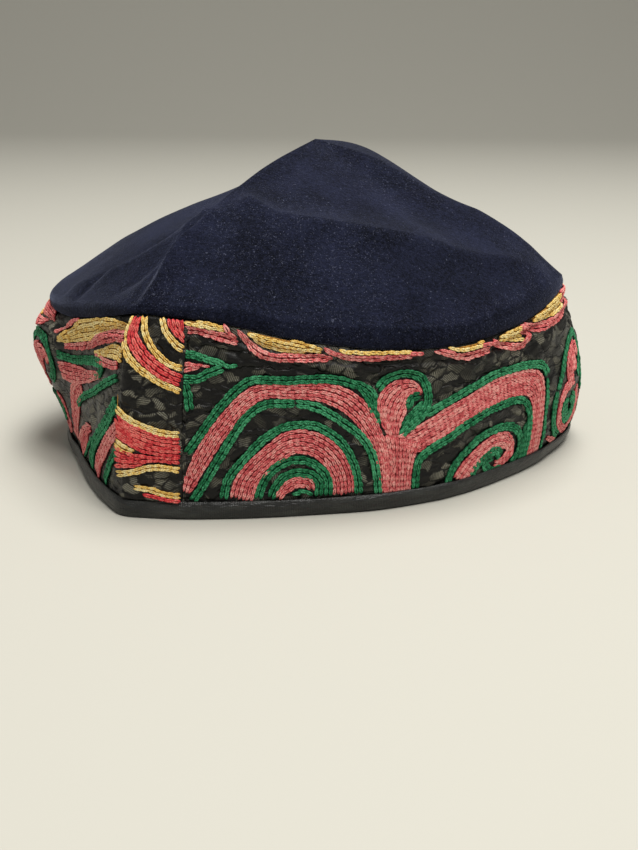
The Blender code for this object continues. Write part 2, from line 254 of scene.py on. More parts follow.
@dataclass(frozen=True)
class CapForm:
    """The cap's measured form: the same loop of sections as the solids, at any fineness."""

    shift: tuple[float, float]
    rim_half_width: float = 0.0935
    rim_half_depth: float = 0.0880
    band_height: float = 0.0580
    cap_height: float = 0.1110
    peak: tuple[float, float] = (-0.0022, -0.0110)
    band_wall: float = 0.0026
    band_swell: float = 0.0060
    crown_wall: float = 0.0020
    gap: float = 0.0003
    softness: tuple[tuple[float, float], ...] = (
        (-1.5, 0.22), (-0.75, 0.18), (0.0, 0.2), (0.75, 0.18), (1.5, 0.22),
    )

    def curve(self, column: str, azimuth: np.ndarray) -> np.ndarray:
        """Read one column of SECTIONS at any azimuth, by cubic steps from row to row.

        Args:
            column: Name of the column.
            azimuth: Degrees, anticlockwise from +X.

        Returns:
            The column's values there.
        """
        rows = sorted(SECTIONS, key=lambda row: row.azimuth)
        at = np.array([row.azimuth for row in rows], float)
        value = np.array([getattr(row, column) for row in rows], float)
        fold = np.array([row.fold for row in rows], float)
        step = np.mod(np.roll(at, -1) - at, 360.0)
        after = (np.roll(value, -1) - value) / step
        before = np.roll(after, 1)
        step_before = np.roll(step, 1)
        smooth = (before * step + after * step_before) / (step + step_before)
        leaving = smooth + fold * (after - smooth)
        arriving = smooth + fold * (before - smooth)
        turned = np.mod(np.asarray(azimuth, float) - at[0], 360.0) + at[0]
        row = np.searchsorted(at, turned, side="right") - 1
        following = (row + 1) % len(at)
        t = (turned - at[row]) / step[row]
        return (
            (1 + 2 * t) * (1 - t) ** 2 * value[row]
            + t * (1 - t) ** 2 * step[row] * leaving[row]
            + t**2 * (3 - 2 * t) * value[following]
            - t**2 * (1 - t) * step[row] * arriving[following]
        )

    def seam_height(self, azimuth: np.ndarray) -> np.ndarray:
        """Height of the line where the crown meets the band."""
        return self.curve("height", azimuth) * self.band_height

    def plan_point(self, azimuth: np.ndarray, share: np.ndarray) -> tuple[np.ndarray, np.ndarray]:
        """The plan place at a share of the rim's half sizes, before the shift."""
        turn = np.radians(azimuth)
        return (
            self.rim_half_width * share * np.cos(turn),
            self.rim_half_depth * share * np.sin(turn),
        )

    def band_face(self, azimuth: np.ndarray, level: np.ndarray) -> np.ndarray:
        """Give the band's outer face.

        Straight from rim to seam, plus a half wave of swell whose middle is moved to the belly,
        less the dents, each a bell-shaped hollow.

        Args:
            azimuth: Degrees.
            level: 0 at the floor, 1 at the seam.

        Returns:
            Points with a last axis of x, y, z, in the frame.
        """
        azimuth, level = np.broadcast_arrays(np.asarray(azimuth, float), np.asarray(level, float))
        rim, seam = self.curve("rim", azimuth), self.curve("seam", azimuth)
        held = np.clip(level, 1e-6, 1.0)
        stretched = held ** (math.log(0.5) / np.log(self.curve("belly", azimuth)))
        bulge = self.curve("swell", azimuth) * np.sin(np.pi * stretched)
        for dent in DENTS:
            around = (np.mod(azimuth - dent.azimuth + 180.0, 360.0) - 180.0) / dent.reach_round
            upward = (level - dent.level) / dent.reach_up
            bulge = bulge - dent.depth * np.exp(-(around**2) - upward**2)
        share = rim + (seam - rim) * level + bulge * self.band_swell / self.rim_half_width
        x, y = self.plan_point(azimuth, share)
        return np.stack([x + self.shift[0], y + self.shift[1], self.seam_height(azimuth) * level], -1)

    def soft_face(self, azimuth: np.ndarray, level: np.ndarray) -> np.ndarray:
        """The band's outer face with its sharp folds rounded: the mean of the face close by."""
        azimuth = np.asarray(azimuth, float)
        return sum(share * self.band_face(azimuth + turn, level) for turn, share in self.softness)

    def roof_plan(self, azimuth: np.ndarray, inward: np.ndarray) -> np.ndarray:
        """Plan place on the straight line from the seam in to the peak."""
        x, y = self.plan_point(azimuth, self.curve("seam", azimuth))
        place = [x + (self.peak[0] - x) * inward, y + (self.peak[1] - y) * inward]
        return np.stack([place[0] + self.shift[0], place[1] + self.shift[1]], -1)

    def fold_height(self, plan: np.ndarray) -> np.ndarray:
        """Give what the folds add to the crown's height.

        Each dies away evenly on both sides of its line: rise times e to the power -distance/reach.
        The highest crest and the deepest crease count, and are added.

        Args:
            plan: Places in plan, in metres.

        Returns:
            The added height at each place, in metres.
        """
        crest, crease = np.zeros(plan.shape[:-1]), np.zeros(plan.shape[:-1])
        for fold in FOLDS:
            line = np.array(fold.points) * MM
            apart = np.full(plan.shape[:-1], np.inf)
            for start, end in zip(line[:-1], line[1:]):
                run = end - start
                along = np.clip((plan - start) @ run / (run @ run), 0.0, 1.0)
                apart = np.minimum(apart, np.linalg.norm(plan - start - along[..., None] * run, axis=-1))
            rounded = np.hypot(apart / MM, fold.rounding) - fold.rounding
            height = fold.rise * MM * np.exp(-rounded / fold.reach)
            crest, crease = np.maximum(crest, height), np.minimum(crease, height)
        return crest + crease

    def roof_height(self, azimuth: np.ndarray, inward: np.ndarray) -> np.ndarray:
        """Give the crown's height above the floor, by cubic steps through a section's heights.

        Args:
            azimuth: Degrees.
            inward: 0 at the seam, 1 at the peak.

        Returns:
            Heights.
        """
        azimuth, inward = np.broadcast_arrays(np.asarray(azimuth, float), np.asarray(inward, float))
        heights = [self.curve(name, azimuth) for name in ("edge", "low", "half", "high")]
        knots = np.stack(heights + [np.ones(azimuth.shape)])
        spacing = 1.0 / (len(knots) - 1)
        slope = np.gradient(knots, spacing, axis=0)
        first = np.minimum((inward / spacing).astype(int), len(knots) - 2)
        t = inward / spacing - first
        pick = tuple(np.indices(azimuth.shape))
        foot = self.seam_height(azimuth)
        share = (
            (1 + 2 * t) * (1 - t) ** 2 * knots[(first,) + pick]
            + t * (1 - t) ** 2 * spacing * slope[(first,) + pick]
            + t**2 * (3 - 2 * t) * knots[(first + 1,) + pick]
            - t**2 * (1 - t) * spacing * slope[(first + 1,) + pick]
        )
        return foot + (self.cap_height - foot) * share


@dataclass
class BandCloth:
    """The band as flat cloth: millimetres along from the strip, and millimetres up from the floor."""

    form: CapForm
    start: float = 246.0
    level: float = 0.45
    turns: np.ndarray = field(init=False)
    lengths: np.ndarray = field(init=False)
    round_length: float = field(init=False)
    pressed: Optional[np.ndarray] = None
    ring_points: int = 2881
    cell: float = 0.5
    map_rows: int = 140
    blur: float = 2.6
    held_down: float = 0.085
    beside_step: float = 0.6
    level_step: float = 0.01
    calm_height: float = 7.0
    calm_reach: float = 4.0
    lumps: tuple[Bumps, ...] = (Bumps(0.30, 11.0, 3), Bumps(0.16, 4.5, 4))
    sway: tuple[Bumps, ...] = (Bumps(0.9, 19.0, 5), Bumps(0.5, 6.0, 7))
    pull: Bumps = Bumps(0.35, 13.0, 6)
    slanting: Bumps = Bumps(1.0, 11.0, 21)
    counter: Bumps = Bumps(1.0, 9.0, 22)
    puff: Bumps = Bumps(1.2, 6.5, 8)
    ridge: Ripple = Ripple(0.75, 1.4, 1.9)
    hollow: Ripple = Ripple(-1.05, 3.9, 0.9)
    roll: Ripple = Ripple(1.15, 6.1, 1.3)
    under: Ripple = Ripple(-0.70, 8.8, 1.1)
    raised_crease: Ripple = Ripple(0.45, 0.0, 0.14)
    sunk_crease: Ripple = Ripple(-0.55, 0.0, 0.12)

    def __post_init__(self) -> None:
        """Measure the band's face along one level, a fine step at a time."""
        self.turns = self.start + np.linspace(0.0, 360.0, self.ring_points)
        ring = self.form.band_face(self.turns, self.level)
        steps = np.linalg.norm(np.diff(ring, axis=0), axis=1) / MM
        self.lengths = np.concatenate([[0.0], np.cumsum(steps)])
        self.round_length = float(self.lengths[-1])

    def azimuth(self, along: np.ndarray) -> np.ndarray:
        """Degrees at a length along the band."""
        return np.interp(np.mod(along, self.round_length), self.lengths, self.turns)

    def seam(self, along: np.ndarray) -> np.ndarray:
        """Height of the seam, in millimetres."""
        return self.form.seam_height(self.azimuth(along)) / MM

    def relief(self, along: np.ndarray, height: np.ndarray) -> np.ndarray:
        """Give how far the cloth stands up from the band's plain face, in millimetres.

        The border stands out as a ridge, with a hollow, a roll and a second hollow under it where
        the seam draws the cloth in. Lower down it is lumpy, creased, and puffed out wherever no
        stitch holds it down.

        Args:
            along: Millimetres along the band.
            height: Millimetres up from the floor.

        Returns:
            The relief.
        """
        around = self.round_length
        level = height * 0.0
        down = self.seam(along) - height
        lumps = sum(bumps.at(along, height, around) for bumps in self.lumps)
        bend = sum(bumps.at(along, level, around) for bumps in self.sway)
        strength = 0.65 + self.pull.at(along, level, around)
        puckers = self.hollow.at(down + 0.4 * bend) + self.roll.at(down + bend) + self.under.at(down + bend)
        edge = np.clip((height - self.calm_height) / self.calm_reach, 0.0, 1.0)
        slant = self.slanting.at(along + 0.9 * height, 0.7 * height, around)
        counter = self.counter.at(along - 1.3 * height, height, around)
        creases = self.raised_crease.at(counter) + self.sunk_crease.at(slant)
        free = 1.0
        if self.pressed is not None:
            free = 1.0 - self.look_up(along, height)
        puffed = free * (0.75 + self.puff.at(along, height, around))
        soft = lumps * free + strength * puckers + free * creases + 0.5 * puffed
        return self.ridge.at(down) + edge * soft

    def press(self, along: np.ndarray, height: np.ndarray) -> None:
        """Keep a map of where stitches hold the cloth down, 1 in sewn areas and 0 far from them.

        Stitches are counted in small cells, and the count is blurred by a bell curve.

        Args:
            along: Millimetres along the band, of every stitch.
            height: Millimetres up, of every stitch.
        """
        columns, rows = int(self.round_length / self.cell), self.map_rows
        column = (np.mod(along, self.round_length) / self.cell).astype(int) % columns
        row = np.clip((height / self.cell).astype(int), 0, rows - 1)
        count = np.zeros((columns, rows))
        np.add.at(count, (column, row), 1.0)
        turn = np.fft.fftfreq(columns)[:, None] ** 2 + np.fft.fftfreq(rows)[None, :] ** 2
        bell = np.exp(-2.0 * (math.pi * self.blur) ** 2 * turn)
        blurred = np.fft.ifft2(np.fft.fft2(count) * bell).real
        self.pressed = np.clip(blurred / self.held_down, 0.0, 1.0)

    def look_up(self, along: np.ndarray, height: np.ndarray) -> np.ndarray:
        """Read the pressed map between its cells, by straight lines both ways."""
        columns, rows = self.pressed.shape
        x = np.mod(along, self.round_length) / self.cell - 0.5
        y = np.clip(height / self.cell - 0.5, 0.0, rows - 1.001)
        left, low = np.floor(x).astype(int), np.floor(y).astype(int)
        s, t = x - left, y - low
        left, right = left % columns, (left + 1) % columns
        bottom = self.pressed[left, low] * (1 - s) + self.pressed[right, low] * s
        top = self.pressed[left, low + 1] * (1 - s) + self.pressed[right, low + 1] * s
        return bottom * (1 - t) + top * t

    def place(self, along: np.ndarray, height: np.ndarray, lift: np.ndarray) -> np.ndarray:
        """Put points of the flat cloth on the cap.

        A point goes to the band's face at its azimuth and level, then out along the face's normal.

        Args:
            along: Millimetres along the band.
            height: Millimetres up from the floor.
            lift: Millimetres out from the plain face.

        Returns:
            Points in the frame, in metres.
        """
        azimuth = self.azimuth(along)
        level = height * MM / self.form.seam_height(azimuth)
        here = self.form.soft_face(azimuth, level)
        ahead = self.form.soft_face(azimuth + self.beside_step, level)
        behind = self.form.soft_face(azimuth - self.beside_step, level)
        above = self.form.band_face(azimuth, level + self.level_step) - self.form.band_face(azimuth, level)
        normal = np.cross(ahead - behind, above)
        normal /= np.linalg.norm(normal, axis=-1, keepdims=True)
        return here + normal * (np.asarray(lift) * MM)[..., None]


# Meshes


def fill_mesh(
    name: str,
    points: np.ndarray,
    faces: Sequence[np.ndarray],
    pattern: Optional[np.ndarray] = None,
    shade: Optional[np.ndarray] = None,
) -> bpy.types.Mesh:
    """Make a mesh from whole arrays.

    Args:
        name: The mesh's name.
        points: Vertices, n by 3.
        faces: One array for each face size, each row the corners of a face.
        pattern: Flat place of each face corner, in millimetres, kept as the UV map.
        shade: A number for each vertex, kept as the attribute "shade".

    Returns:
        The mesh, smooth shaded.
    """
    mesh = bpy.data.meshes.new(name)
    corners = np.concatenate([part.ravel() for part in faces]).astype(np.int32)
    sizes = np.concatenate([np.full(len(part), part.shape[1]) for part in faces])
    starts = np.concatenate([[0], np.cumsum(sizes)[:-1]]).astype(np.int32)
    mesh.vertices.add(len(points))
    mesh.vertices.foreach_set("co", np.ascontiguousarray(points, np.float32).ravel())
    mesh.loops.add(len(corners))
    mesh.loops.foreach_set("vertex_index", corners)
    mesh.polygons.add(len(sizes))
    mesh.polygons.foreach_set("loop_start", starts)
    mesh.update(calc_edges=True)
    if pattern is not None:
        layer = mesh.uv_layers.new(name="pattern")
        layer.data.foreach_set("uv", np.ascontiguousarray(pattern, np.float32).ravel())
    if shade is not None:
        kept = mesh.attributes.new("shade", "FLOAT", "POINT")
        kept.data.foreach_set("value", np.ascontiguousarray(shade, np.float32))
    mesh.shade_smooth()
    return mesh


def ring_faces(rows: int, columns: int, closed: bool, wrap: bool = True) -> np.ndarray:
    """List the quads between neighbouring rows of points.

    Args:
        rows: How many rows.
        columns: Points in each row.
        closed: Whether the last row joins the first.
        wrap: Whether each row is a closed loop.

    Returns:
        Corner numbers, a row for each quad.
    """
    row = np.arange(rows if closed else rows - 1)[:, None]
    column = np.arange(columns if wrap else columns - 1)[None, :]
    beside, above = (column + 1) % columns, (row + 1) % rows
    quads = [row * columns + column, row * columns + beside, above * columns + beside]
    quads.append(above * columns + column)
    return np.stack(np.broadcast_arrays(*quads), -1).reshape(-1, 4)


def ring_pattern(across: np.ndarray, upward: np.ndarray, closed: bool) -> np.ndarray:
    """Give the flat place of each corner of ring_faces, without a jump where the loop closes.

    Args:
        across: Flat place along, one more value than there are columns.
        upward: Flat place up, rows by columns + 1.
        closed: Whether the last row joins the first.

    Returns:
        Places, a row for each face corner.
    """
    rows, columns = upward.shape[0], upward.shape[1] - 1
    along = np.broadcast_to(across, upward.shape)
    place = np.stack([along, upward], -1)
    row = np.arange(rows if closed else rows - 1)[:, None]
    above = (row + 1) % rows
    column = np.arange(columns)[None, :]
    corners = [place[row, column], place[row, column + 1], place[above, column + 1]]
    corners.append(place[above, column])
    return np.stack(corners, 2).reshape(-1, 2)


def slab(outer: np.ndarray, inner: np.ndarray) -> tuple[np.ndarray, np.ndarray]:
    """Close two facing sheets of points into a body, by quads round their edge.

    Args:
        outer: The outer sheet, rows by columns by 3.
        inner: The inner sheet, the same shape.

    Returns:
        The points, outer sheet first, and the quads.
    """
    rows, columns = outer.shape[:2]
    count = rows * columns
    front = ring_faces(rows, columns, False, False)
    edge = np.concatenate([
        np.arange(columns),
        np.arange(1, rows) * columns + columns - 1,
        (rows - 1) * columns + np.arange(columns - 2, -1, -1),
        np.arange(rows - 2, 0, -1) * columns,
    ])
    following = np.roll(edge, -1)
    rim = np.stack([edge + count, following + count, following, edge], -1)
    points = np.concatenate([outer.reshape(-1, 3), inner.reshape(-1, 3)])
    return points, np.concatenate([front, front[:, ::-1] + count, rim])


def surface_normals(grid: np.ndarray) -> np.ndarray:
    """Unit normals of closed rows of points: along crossed with up."""
    up = np.gradient(grid, axis=0)
    along = np.roll(grid, -1, axis=1) - np.roll(grid, 1, axis=1)
    normal = np.cross(along, up)
    return normal / np.linalg.norm(normal, axis=-1, keepdims=True)


def add_piece(name: str, mesh: bpy.types.Mesh, finish: bpy.types.Material) -> bpy.types.Object:
    """Hang a finished mesh on the cap, dressed in one material."""
    piece = bpy.data.objects.new(name, mesh)
    bpy.context.scene.collection.objects.link(piece)
    mesh.materials.append(finish)
    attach(piece, "root")
    mesh.calc_loop_triangles()
    log.info("%s: %d triangles", name, len(mesh.loop_triangles))
    return piece


# Finishes


class Wire:
    """One output of a shader node, on which arithmetic adds Math nodes."""

    def __init__(self, bench: "Bench", socket: bpy.types.NodeSocket) -> None:
        """Keep the socket and the bench that it belongs to."""
        self.bench = bench
        self.socket = socket

    def __add__(self, other: "Value") -> "Wire":
        """Sum."""
        return self.bench.maths("ADD", self, other)

    __radd__ = __add__

    def __sub__(self, other: "Value") -> "Wire":
        """Difference."""
        return self.bench.maths("SUBTRACT", self, other)

    def __rsub__(self, other: "Value") -> "Wire":
        """Difference, from a number."""
        return self.bench.maths("SUBTRACT", other, self)

    def __mul__(self, other: "Value") -> "Wire":
        """Product."""
        return self.bench.maths("MULTIPLY", self, other)

    __rmul__ = __mul__

    def sine(self) -> "Wire":
        """Sine, of an angle in radians."""
        return self.bench.maths("SINE", self)

    def cosine(self) -> "Wire":
        """Cosine, of an angle in radians."""
        return self.bench.maths("COSINE", self)

    def size(self) -> "Wire":
        """Value without its sign."""
        return self.bench.maths("ABSOLUTE", self)

    def step(self, start: float, end: float, low: float = 0.0, high: float = 1.0) -> "Wire":
        """Smooth step from low to high while the value goes from start to end."""
        settings = {"interpolation_type": "SMOOTHSTEP"}
        sockets = {"Value": self, 1: start, 2: end, 3: low, 4: high}
        return self.bench.node("ShaderNodeMapRange", settings, sockets)


Value = Union[float, Wire]


class Bench:
    """A material being made: adds nodes and joins them."""

    def __init__(self, name: str) -> None:
        """Start a material with a plain shader."""
        self.material = bpy.data.materials.new(name)
        self.material.use_nodes = True
        self.tree = self.material.node_tree
        self.shader = self.tree.nodes["Principled BSDF"]

    def join(self, value: object, socket: bpy.types.NodeSocket) -> None:
        """Link a wire to a socket, or set the socket to a plain value."""
        if isinstance(value, Wire):
            self.tree.links.new(value.socket, socket)
        elif socket.type == "RGBA" and len(value) == 3:
            socket.default_value = (*value, 1.0)
        else:
            socket.default_value = value

    def node(self, kind: str, settings: dict, sockets: dict, out: Union[int, str] = 0) -> Wire:
        """Add any node.

        Args:
            kind: The node's type.
            settings: Its own settings, set first; "stops" are a ramp's (place, colour) pairs.
            sockets: Values or wires, by socket name or number.
            out: The output wanted, by name or number.

        Returns:
            That output.
        """
        made = self.tree.nodes.new(kind)
        for key, value in settings.items():
            if key == "stops":
                ramp = made.color_ramp
                while len(ramp.elements) < len(value):
                    ramp.elements.new(0.5)
                for element, (place, colour) in zip(ramp.elements, value):
                    element.position = place
                    element.color = (*colour, 1.0)
            else:
                setattr(made, key, value)
        for key, value in sockets.items():
            self.join(value, made.inputs[key])
        return Wire(self, made.outputs[out])

    def maths(self, operation: str, first: Value, second: Value = 0.0) -> Wire:
        """Add a Math node."""
        return self.node("ShaderNodeMath", {"operation": operation}, {0: first, 1: second})

    def mix(self, share: Value, first: object, second: object, blend: str = "MIX") -> Wire:
        """Mix two colours."""
        settings = {"data_type": "RGBA", "blend_type": blend}
        return self.node("ShaderNodeMix", settings, {0: share, 6: first, 7: second}, 2)

    def place(self) -> Wire:
        """The point's place on the object, in metres."""
        return self.node("ShaderNodeTexCoord", {}, {}, "Object")

    def pattern(self) -> Wire:
        """The point's place on the flat cloth, in millimetres."""
        return self.node("ShaderNodeUVMap", {"uv_map": "pattern"}, {})

    def axis(self, place: Wire, number: int) -> Wire:
        """One axis of a place: 0 for x, 1 for y."""
        return self.node("ShaderNodeSeparateXYZ", {}, {"Vector": place}, number)

    def stretched(self, place: Wire, scale: Sequence[float], turn: float = 0.0) -> Wire:
        """A place scaled, and turned about Z, before a texture reads it."""
        sockets = {"Vector": place, "Scale": tuple(scale), "Rotation": (0.0, 0.0, turn)}
        return self.node("ShaderNodeMapping", {}, sockets)

    def noise(self, place: Wire, scale: float, detail: float = 2.0, rough: float = 0.5) -> Wire:
        """Soft noise, about 0 to 1."""
        sockets = {"Vector": place, "Scale": scale, "Detail": detail, "Roughness": rough}
        return self.node("ShaderNodeTexNoise", {}, sockets, "Fac")

    def finish(
        self, colour: object, roughness: object, fixed: dict, height: Optional[Wire], depth: float
    ) -> bpy.types.Material:
        """Join up the shader.

        Args:
            colour: Base colour.
            roughness: Roughness.
            fixed: Values that are the same all over, by socket name.
            height: Bump height, 0 to 1, or None.
            depth: How deep the bump's full height is, in metres.

        Returns:
            The finished material.
        """
        self.join(colour, self.shader.inputs["Base Color"])
        self.join(roughness, self.shader.inputs["Roughness"])
        for key, value in fixed.items():
            self.join(value, self.shader.inputs[key])
        if height is not None:
            sockets = {"Height": height, "Distance": depth, "Strength": 1.0}
            self.join(self.node("ShaderNodeBump", {}, sockets), self.shader.inputs["Normal"])
        return self.material


@dataclass(frozen=True)
class Velvet:
    """Worn navy velvet: short pile, darker and lighter drifts, lint."""

    name: str = "velvet"
    deep: Colour = paint(4, 6, 16)
    worn: Colour = paint(33, 37, 58)
    lint: Colour = paint(98, 102, 122)
    sheen: Colour = (0.34, 0.38, 0.56)
    drift_scale: float = 38.0
    dust_scale: float = 22.0
    pile_scale: float = 2100.0
    grain_scale: float = 1100.0
    speck_scale: float = 2300.0
    dot_scale: float = 1300.0
    hair_scale: float = 420.0
    relief: float = 0.00035

    def make(self) -> bpy.types.Material:
        """Build the material.

        The dye drifts between deep and worn. Lint is where a fine noise passes a high mark, and
        hairs are where a noise comes close to its middle value, which draws thin lines.
        """
        bench = Bench(self.name)
        place = bench.place()
        drift = bench.noise(place, self.drift_scale, 3.0, 0.6).step(0.35, 0.68)
        pile = bench.noise(place, self.pile_scale, 2.0, 0.7)
        grain = bench.noise(bench.stretched(place, (0.5, 1.0, 1.0)), self.grain_scale, 2.0, 0.6)
        tone = drift * 0.40 + grain.step(0.38, 0.66) * 0.30 + pile.step(0.38, 0.68) * 0.42 - 0.06
        colour = bench.mix(tone, self.deep, self.worn)
        dusty = bench.noise(place, self.dust_scale, 1.0).step(0.40, 0.62, 0.25, 1.0)
        specks = bench.noise(place, self.speck_scale, 1.0, 0.5).step(0.64, 0.74)
        dots = bench.noise(place, self.dot_scale, 0.0, 0.5).step(0.80, 0.86)
        hair = (bench.noise(place, self.hair_scale, 1.0, 0.4) - 0.5).size()
        hairs = (1.0 - hair.step(0.002, 0.010)) * bench.noise(place, 500.0, 0.0).step(0.56, 0.66)
        colour = bench.mix(specks * dusty * 0.45, colour, self.lint)
        colour = bench.mix(hairs * dusty * 0.30, colour, self.lint)
        colour = bench.mix(dots * 0.42, colour, self.lint)
        fixed = {
            "Sheen Weight": 0.35,
            "Sheen Roughness": 0.30,
            "Sheen Tint": (*self.sheen, 1.0),
            "Specular IOR Level": 0.10,
        }
        height = pile * 0.6 + grain * 0.4
        return bench.finish(colour, 0.92, fixed, height, self.relief)


@dataclass(frozen=True)
class FiguredSatin:
    """Black satin with a woven figure: patches of grey hatching that change direction."""

    name: str = "figured_satin"
    ground: Colour = paint(21, 20, 18)
    figure: Colour = paint(158, 155, 138)
    shade: Colour = paint(9, 9, 8)
    hatch_pitch: float = 0.62
    relief: float = 0.00070

    def make(self) -> bpy.types.Material:
        """Build the material.

        The figure is made of bent cells with a thin dark line between them, some left plain. Each
        cell turns its hatching its own way, a sine of the place along that direction.
        """
        bench = Bench(self.name)
        flat = bench.pattern()
        bend = bench.node("ShaderNodeTexNoise", {}, {"Vector": flat, "Scale": 0.22, "Detail": 2.0}, "Color")
        moved = {0: bend, 1: (5.0, 5.0, 0.0), 2: flat}
        bent = bench.node("ShaderNodeVectorMath", {"operation": "MULTIPLY_ADD"}, moved)
        narrow = bench.stretched(bent, (0.21, 0.33, 1.0), 0.5)
        sockets = {"Vector": narrow, "Scale": 1.0}
        cells = bench.node("ShaderNodeTexVoronoi", {"feature": "F1"}, sockets, "Color")
        apart = bench.node("ShaderNodeTexVoronoi", {"feature": "DISTANCE_TO_EDGE"}, sockets, "Distance")
        turn = bench.node("ShaderNodeSeparateColor", {}, {"Color": cells}, 0) * 3.1416
        pick = bench.node("ShaderNodeSeparateColor", {}, {"Color": cells}, 1)
        drift = bench.noise(flat, 0.075, 2.0, 0.6).step(0.38, 0.60, 0.25, 1.0)
        mask = apart.step(0.02, 0.16) * pick.step(0.36, 0.46) * drift
        u = bench.axis(flat, 0)
        v = bench.axis(flat, 1)
        across = u * turn.cosine() + v * turn.sine()
        hatch = (across * (2.0 * math.pi / self.hatch_pitch)).sine().step(-0.5, 0.7)
        fine = bench.noise(flat, 2.6, 2.0, 0.7)
        lit = mask * (hatch * 0.7 + 0.3) * fine.step(0.25, 0.7, 0.35, 1.0) * (pick * 0.7 + 0.3)
        colour = bench.mix(fine.step(0.3, 0.7), self.shade, self.ground)
        colour = bench.mix(lit, colour, self.figure)
        roughness = mask * 0.10 + 0.38
        crease = (bench.noise(bench.stretched(bent, (0.05, 0.16, 1.0), 0.6), 1.0, 2.0, 0.5) - 0.5).size()
        height = mask * 0.12 + hatch * mask * 0.13 + fine * 0.10 + crease.step(0.0, 0.10) * 0.65
        fixed = {"Specular IOR Level": 0.22}
        return bench.finish(colour, roughness, fixed, height, self.relief)


@dataclass(frozen=True)
class BindingSatin:
    """Plain black binding cloth, with greyer streaks of painted sheen that drift along it."""

    name: str = "binding_satin"
    ground: Colour = paint(7, 8, 7)
    sheen_streak: Colour = paint(46, 48, 45)
    rib_pitch: float = 0.55
    relief: float = 0.00090

    def make(self) -> bpy.types.Material:
        """Build the material: a fine cross rib, long streaks, and a greyer tone of painted sheen that drifts
        along.
        """
        bench = Bench(self.name)
        flat = bench.pattern()
        drift = bench.noise(bench.stretched(flat, (0.07, 0.28, 1.0)), 1.0, 3.0, 0.6)
        u = bench.axis(flat, 0)
        rib = (u * (2.0 * math.pi / self.rib_pitch)).sine() * 0.5 + 0.5
        fine = bench.noise(flat, 2.0, 2.0, 0.6)
        # painted sheen: greyer streaks set at random along the band
        colour = bench.mix(drift.step(0.42, 0.72) * 0.8 + fine * 0.2, self.ground, self.sheen_streak)
        fixed = {"Specular IOR Level": 0.50}
        roughness = drift * 0.20 + 0.28
        streak = bench.noise(bench.stretched(flat, (0.16, 0.60, 1.0)), 1.0, 3.0, 0.6)
        height = rib * 0.05 + fine * 0.10 + streak * 0.85
        return bench.finish(colour, roughness, fixed, height, self.relief)


@dataclass(frozen=True)
class Thread:
    """Soft twisted embroidery thread."""

    name: str
    deep: Colour
    dark: Colour
    middle: Colour
    light: Colour
    ply_pitch: float = 0.55
    relief: float = 0.00016

    def make(self) -> bpy.types.Material:
        """Build the material.

        Each vertex's shade, the stitch's own tone with painted light and shade from the loops, picks a
        tone from deep to light. Fine flecks paint glints and shade of single fibres, and noises at two
        scales fade the dye. Two plies wind round the thread as slanting ridges, a sine of round plus
        along, and the grooves between them are painted darker as shade.
        """
        bench = Bench(self.name)
        place = bench.place()
        # the vertex shade: each stitch's own tone plus painted light and shade from the loops' form
        shade = bench.node("ShaderNodeAttribute", {"attribute_name": "shade"}, {}, "Fac")
        # fine flecks: painted glints and shade of single fibres; the same noise also roughens the bump
        fibre_glint = bench.noise(place, 1500.0, 2.0, 0.6).step(0.30, 0.70)
        fade = bench.noise(place, 330.0, 2.0, 0.6)
        patch = bench.noise(place, 60.0, 2.0, 0.5)
        tone = shade * 0.85 + fibre_glint * 0.26 + fade * 0.18 + patch * 0.18 - 0.28
        stops = [(0.0, self.deep), (0.28, self.dark), (0.56, self.middle), (0.92, self.light)]
        colour = bench.node("ShaderNodeValToRGB", {"stops": stops}, {"Fac": tone})
        flat = bench.pattern()
        round_it = bench.axis(flat, 0)
        down_it = bench.axis(flat, 1)
        plies = (round_it * (4.0 * math.pi) + down_it * (2.0 * math.pi / self.ply_pitch)).sine() * 0.5 + 0.5
        # painted shade: the grooves between the plies are darkened toward the dark tone
        colour = bench.mix((1.0 - plies) * 0.30, colour, self.dark)
        fixed = {
            "Sheen Weight": 0.18,
            "Sheen Roughness": 0.5,
            "Sheen Tint": (*self.light, 1.0),
            "Specular IOR Level": 0.25,
        }
        return bench.finish(colour, 0.72, fixed, plies * 0.6 + fibre_glint * 0.4, self.relief)


class Dye(Enum):
    """The threads' colours."""

    PINK = Thread(
        "pink_thread",
        paint(92, 20, 30), paint(166, 54, 60),
        paint(226, 104, 106), paint(255, 182, 172),
    )
    GREEN = Thread(
        "green_thread",
        paint(0, 26, 14), paint(2, 62, 36),
        paint(14, 108, 64), paint(78, 170, 120),
    )
    YELLOW = Thread(
        "yellow_thread",
        paint(110, 62, 14), paint(204, 148, 58),
        paint(248, 208, 112), paint(255, 244, 186),
    )
    RED = Thread(
        "red_thread",
        paint(84, 8, 18), paint(168, 32, 42),
        paint(226, 66, 70), paint(250, 138, 126),
    )


# Embroidery

Points = Sequence[tuple[float, ...]]


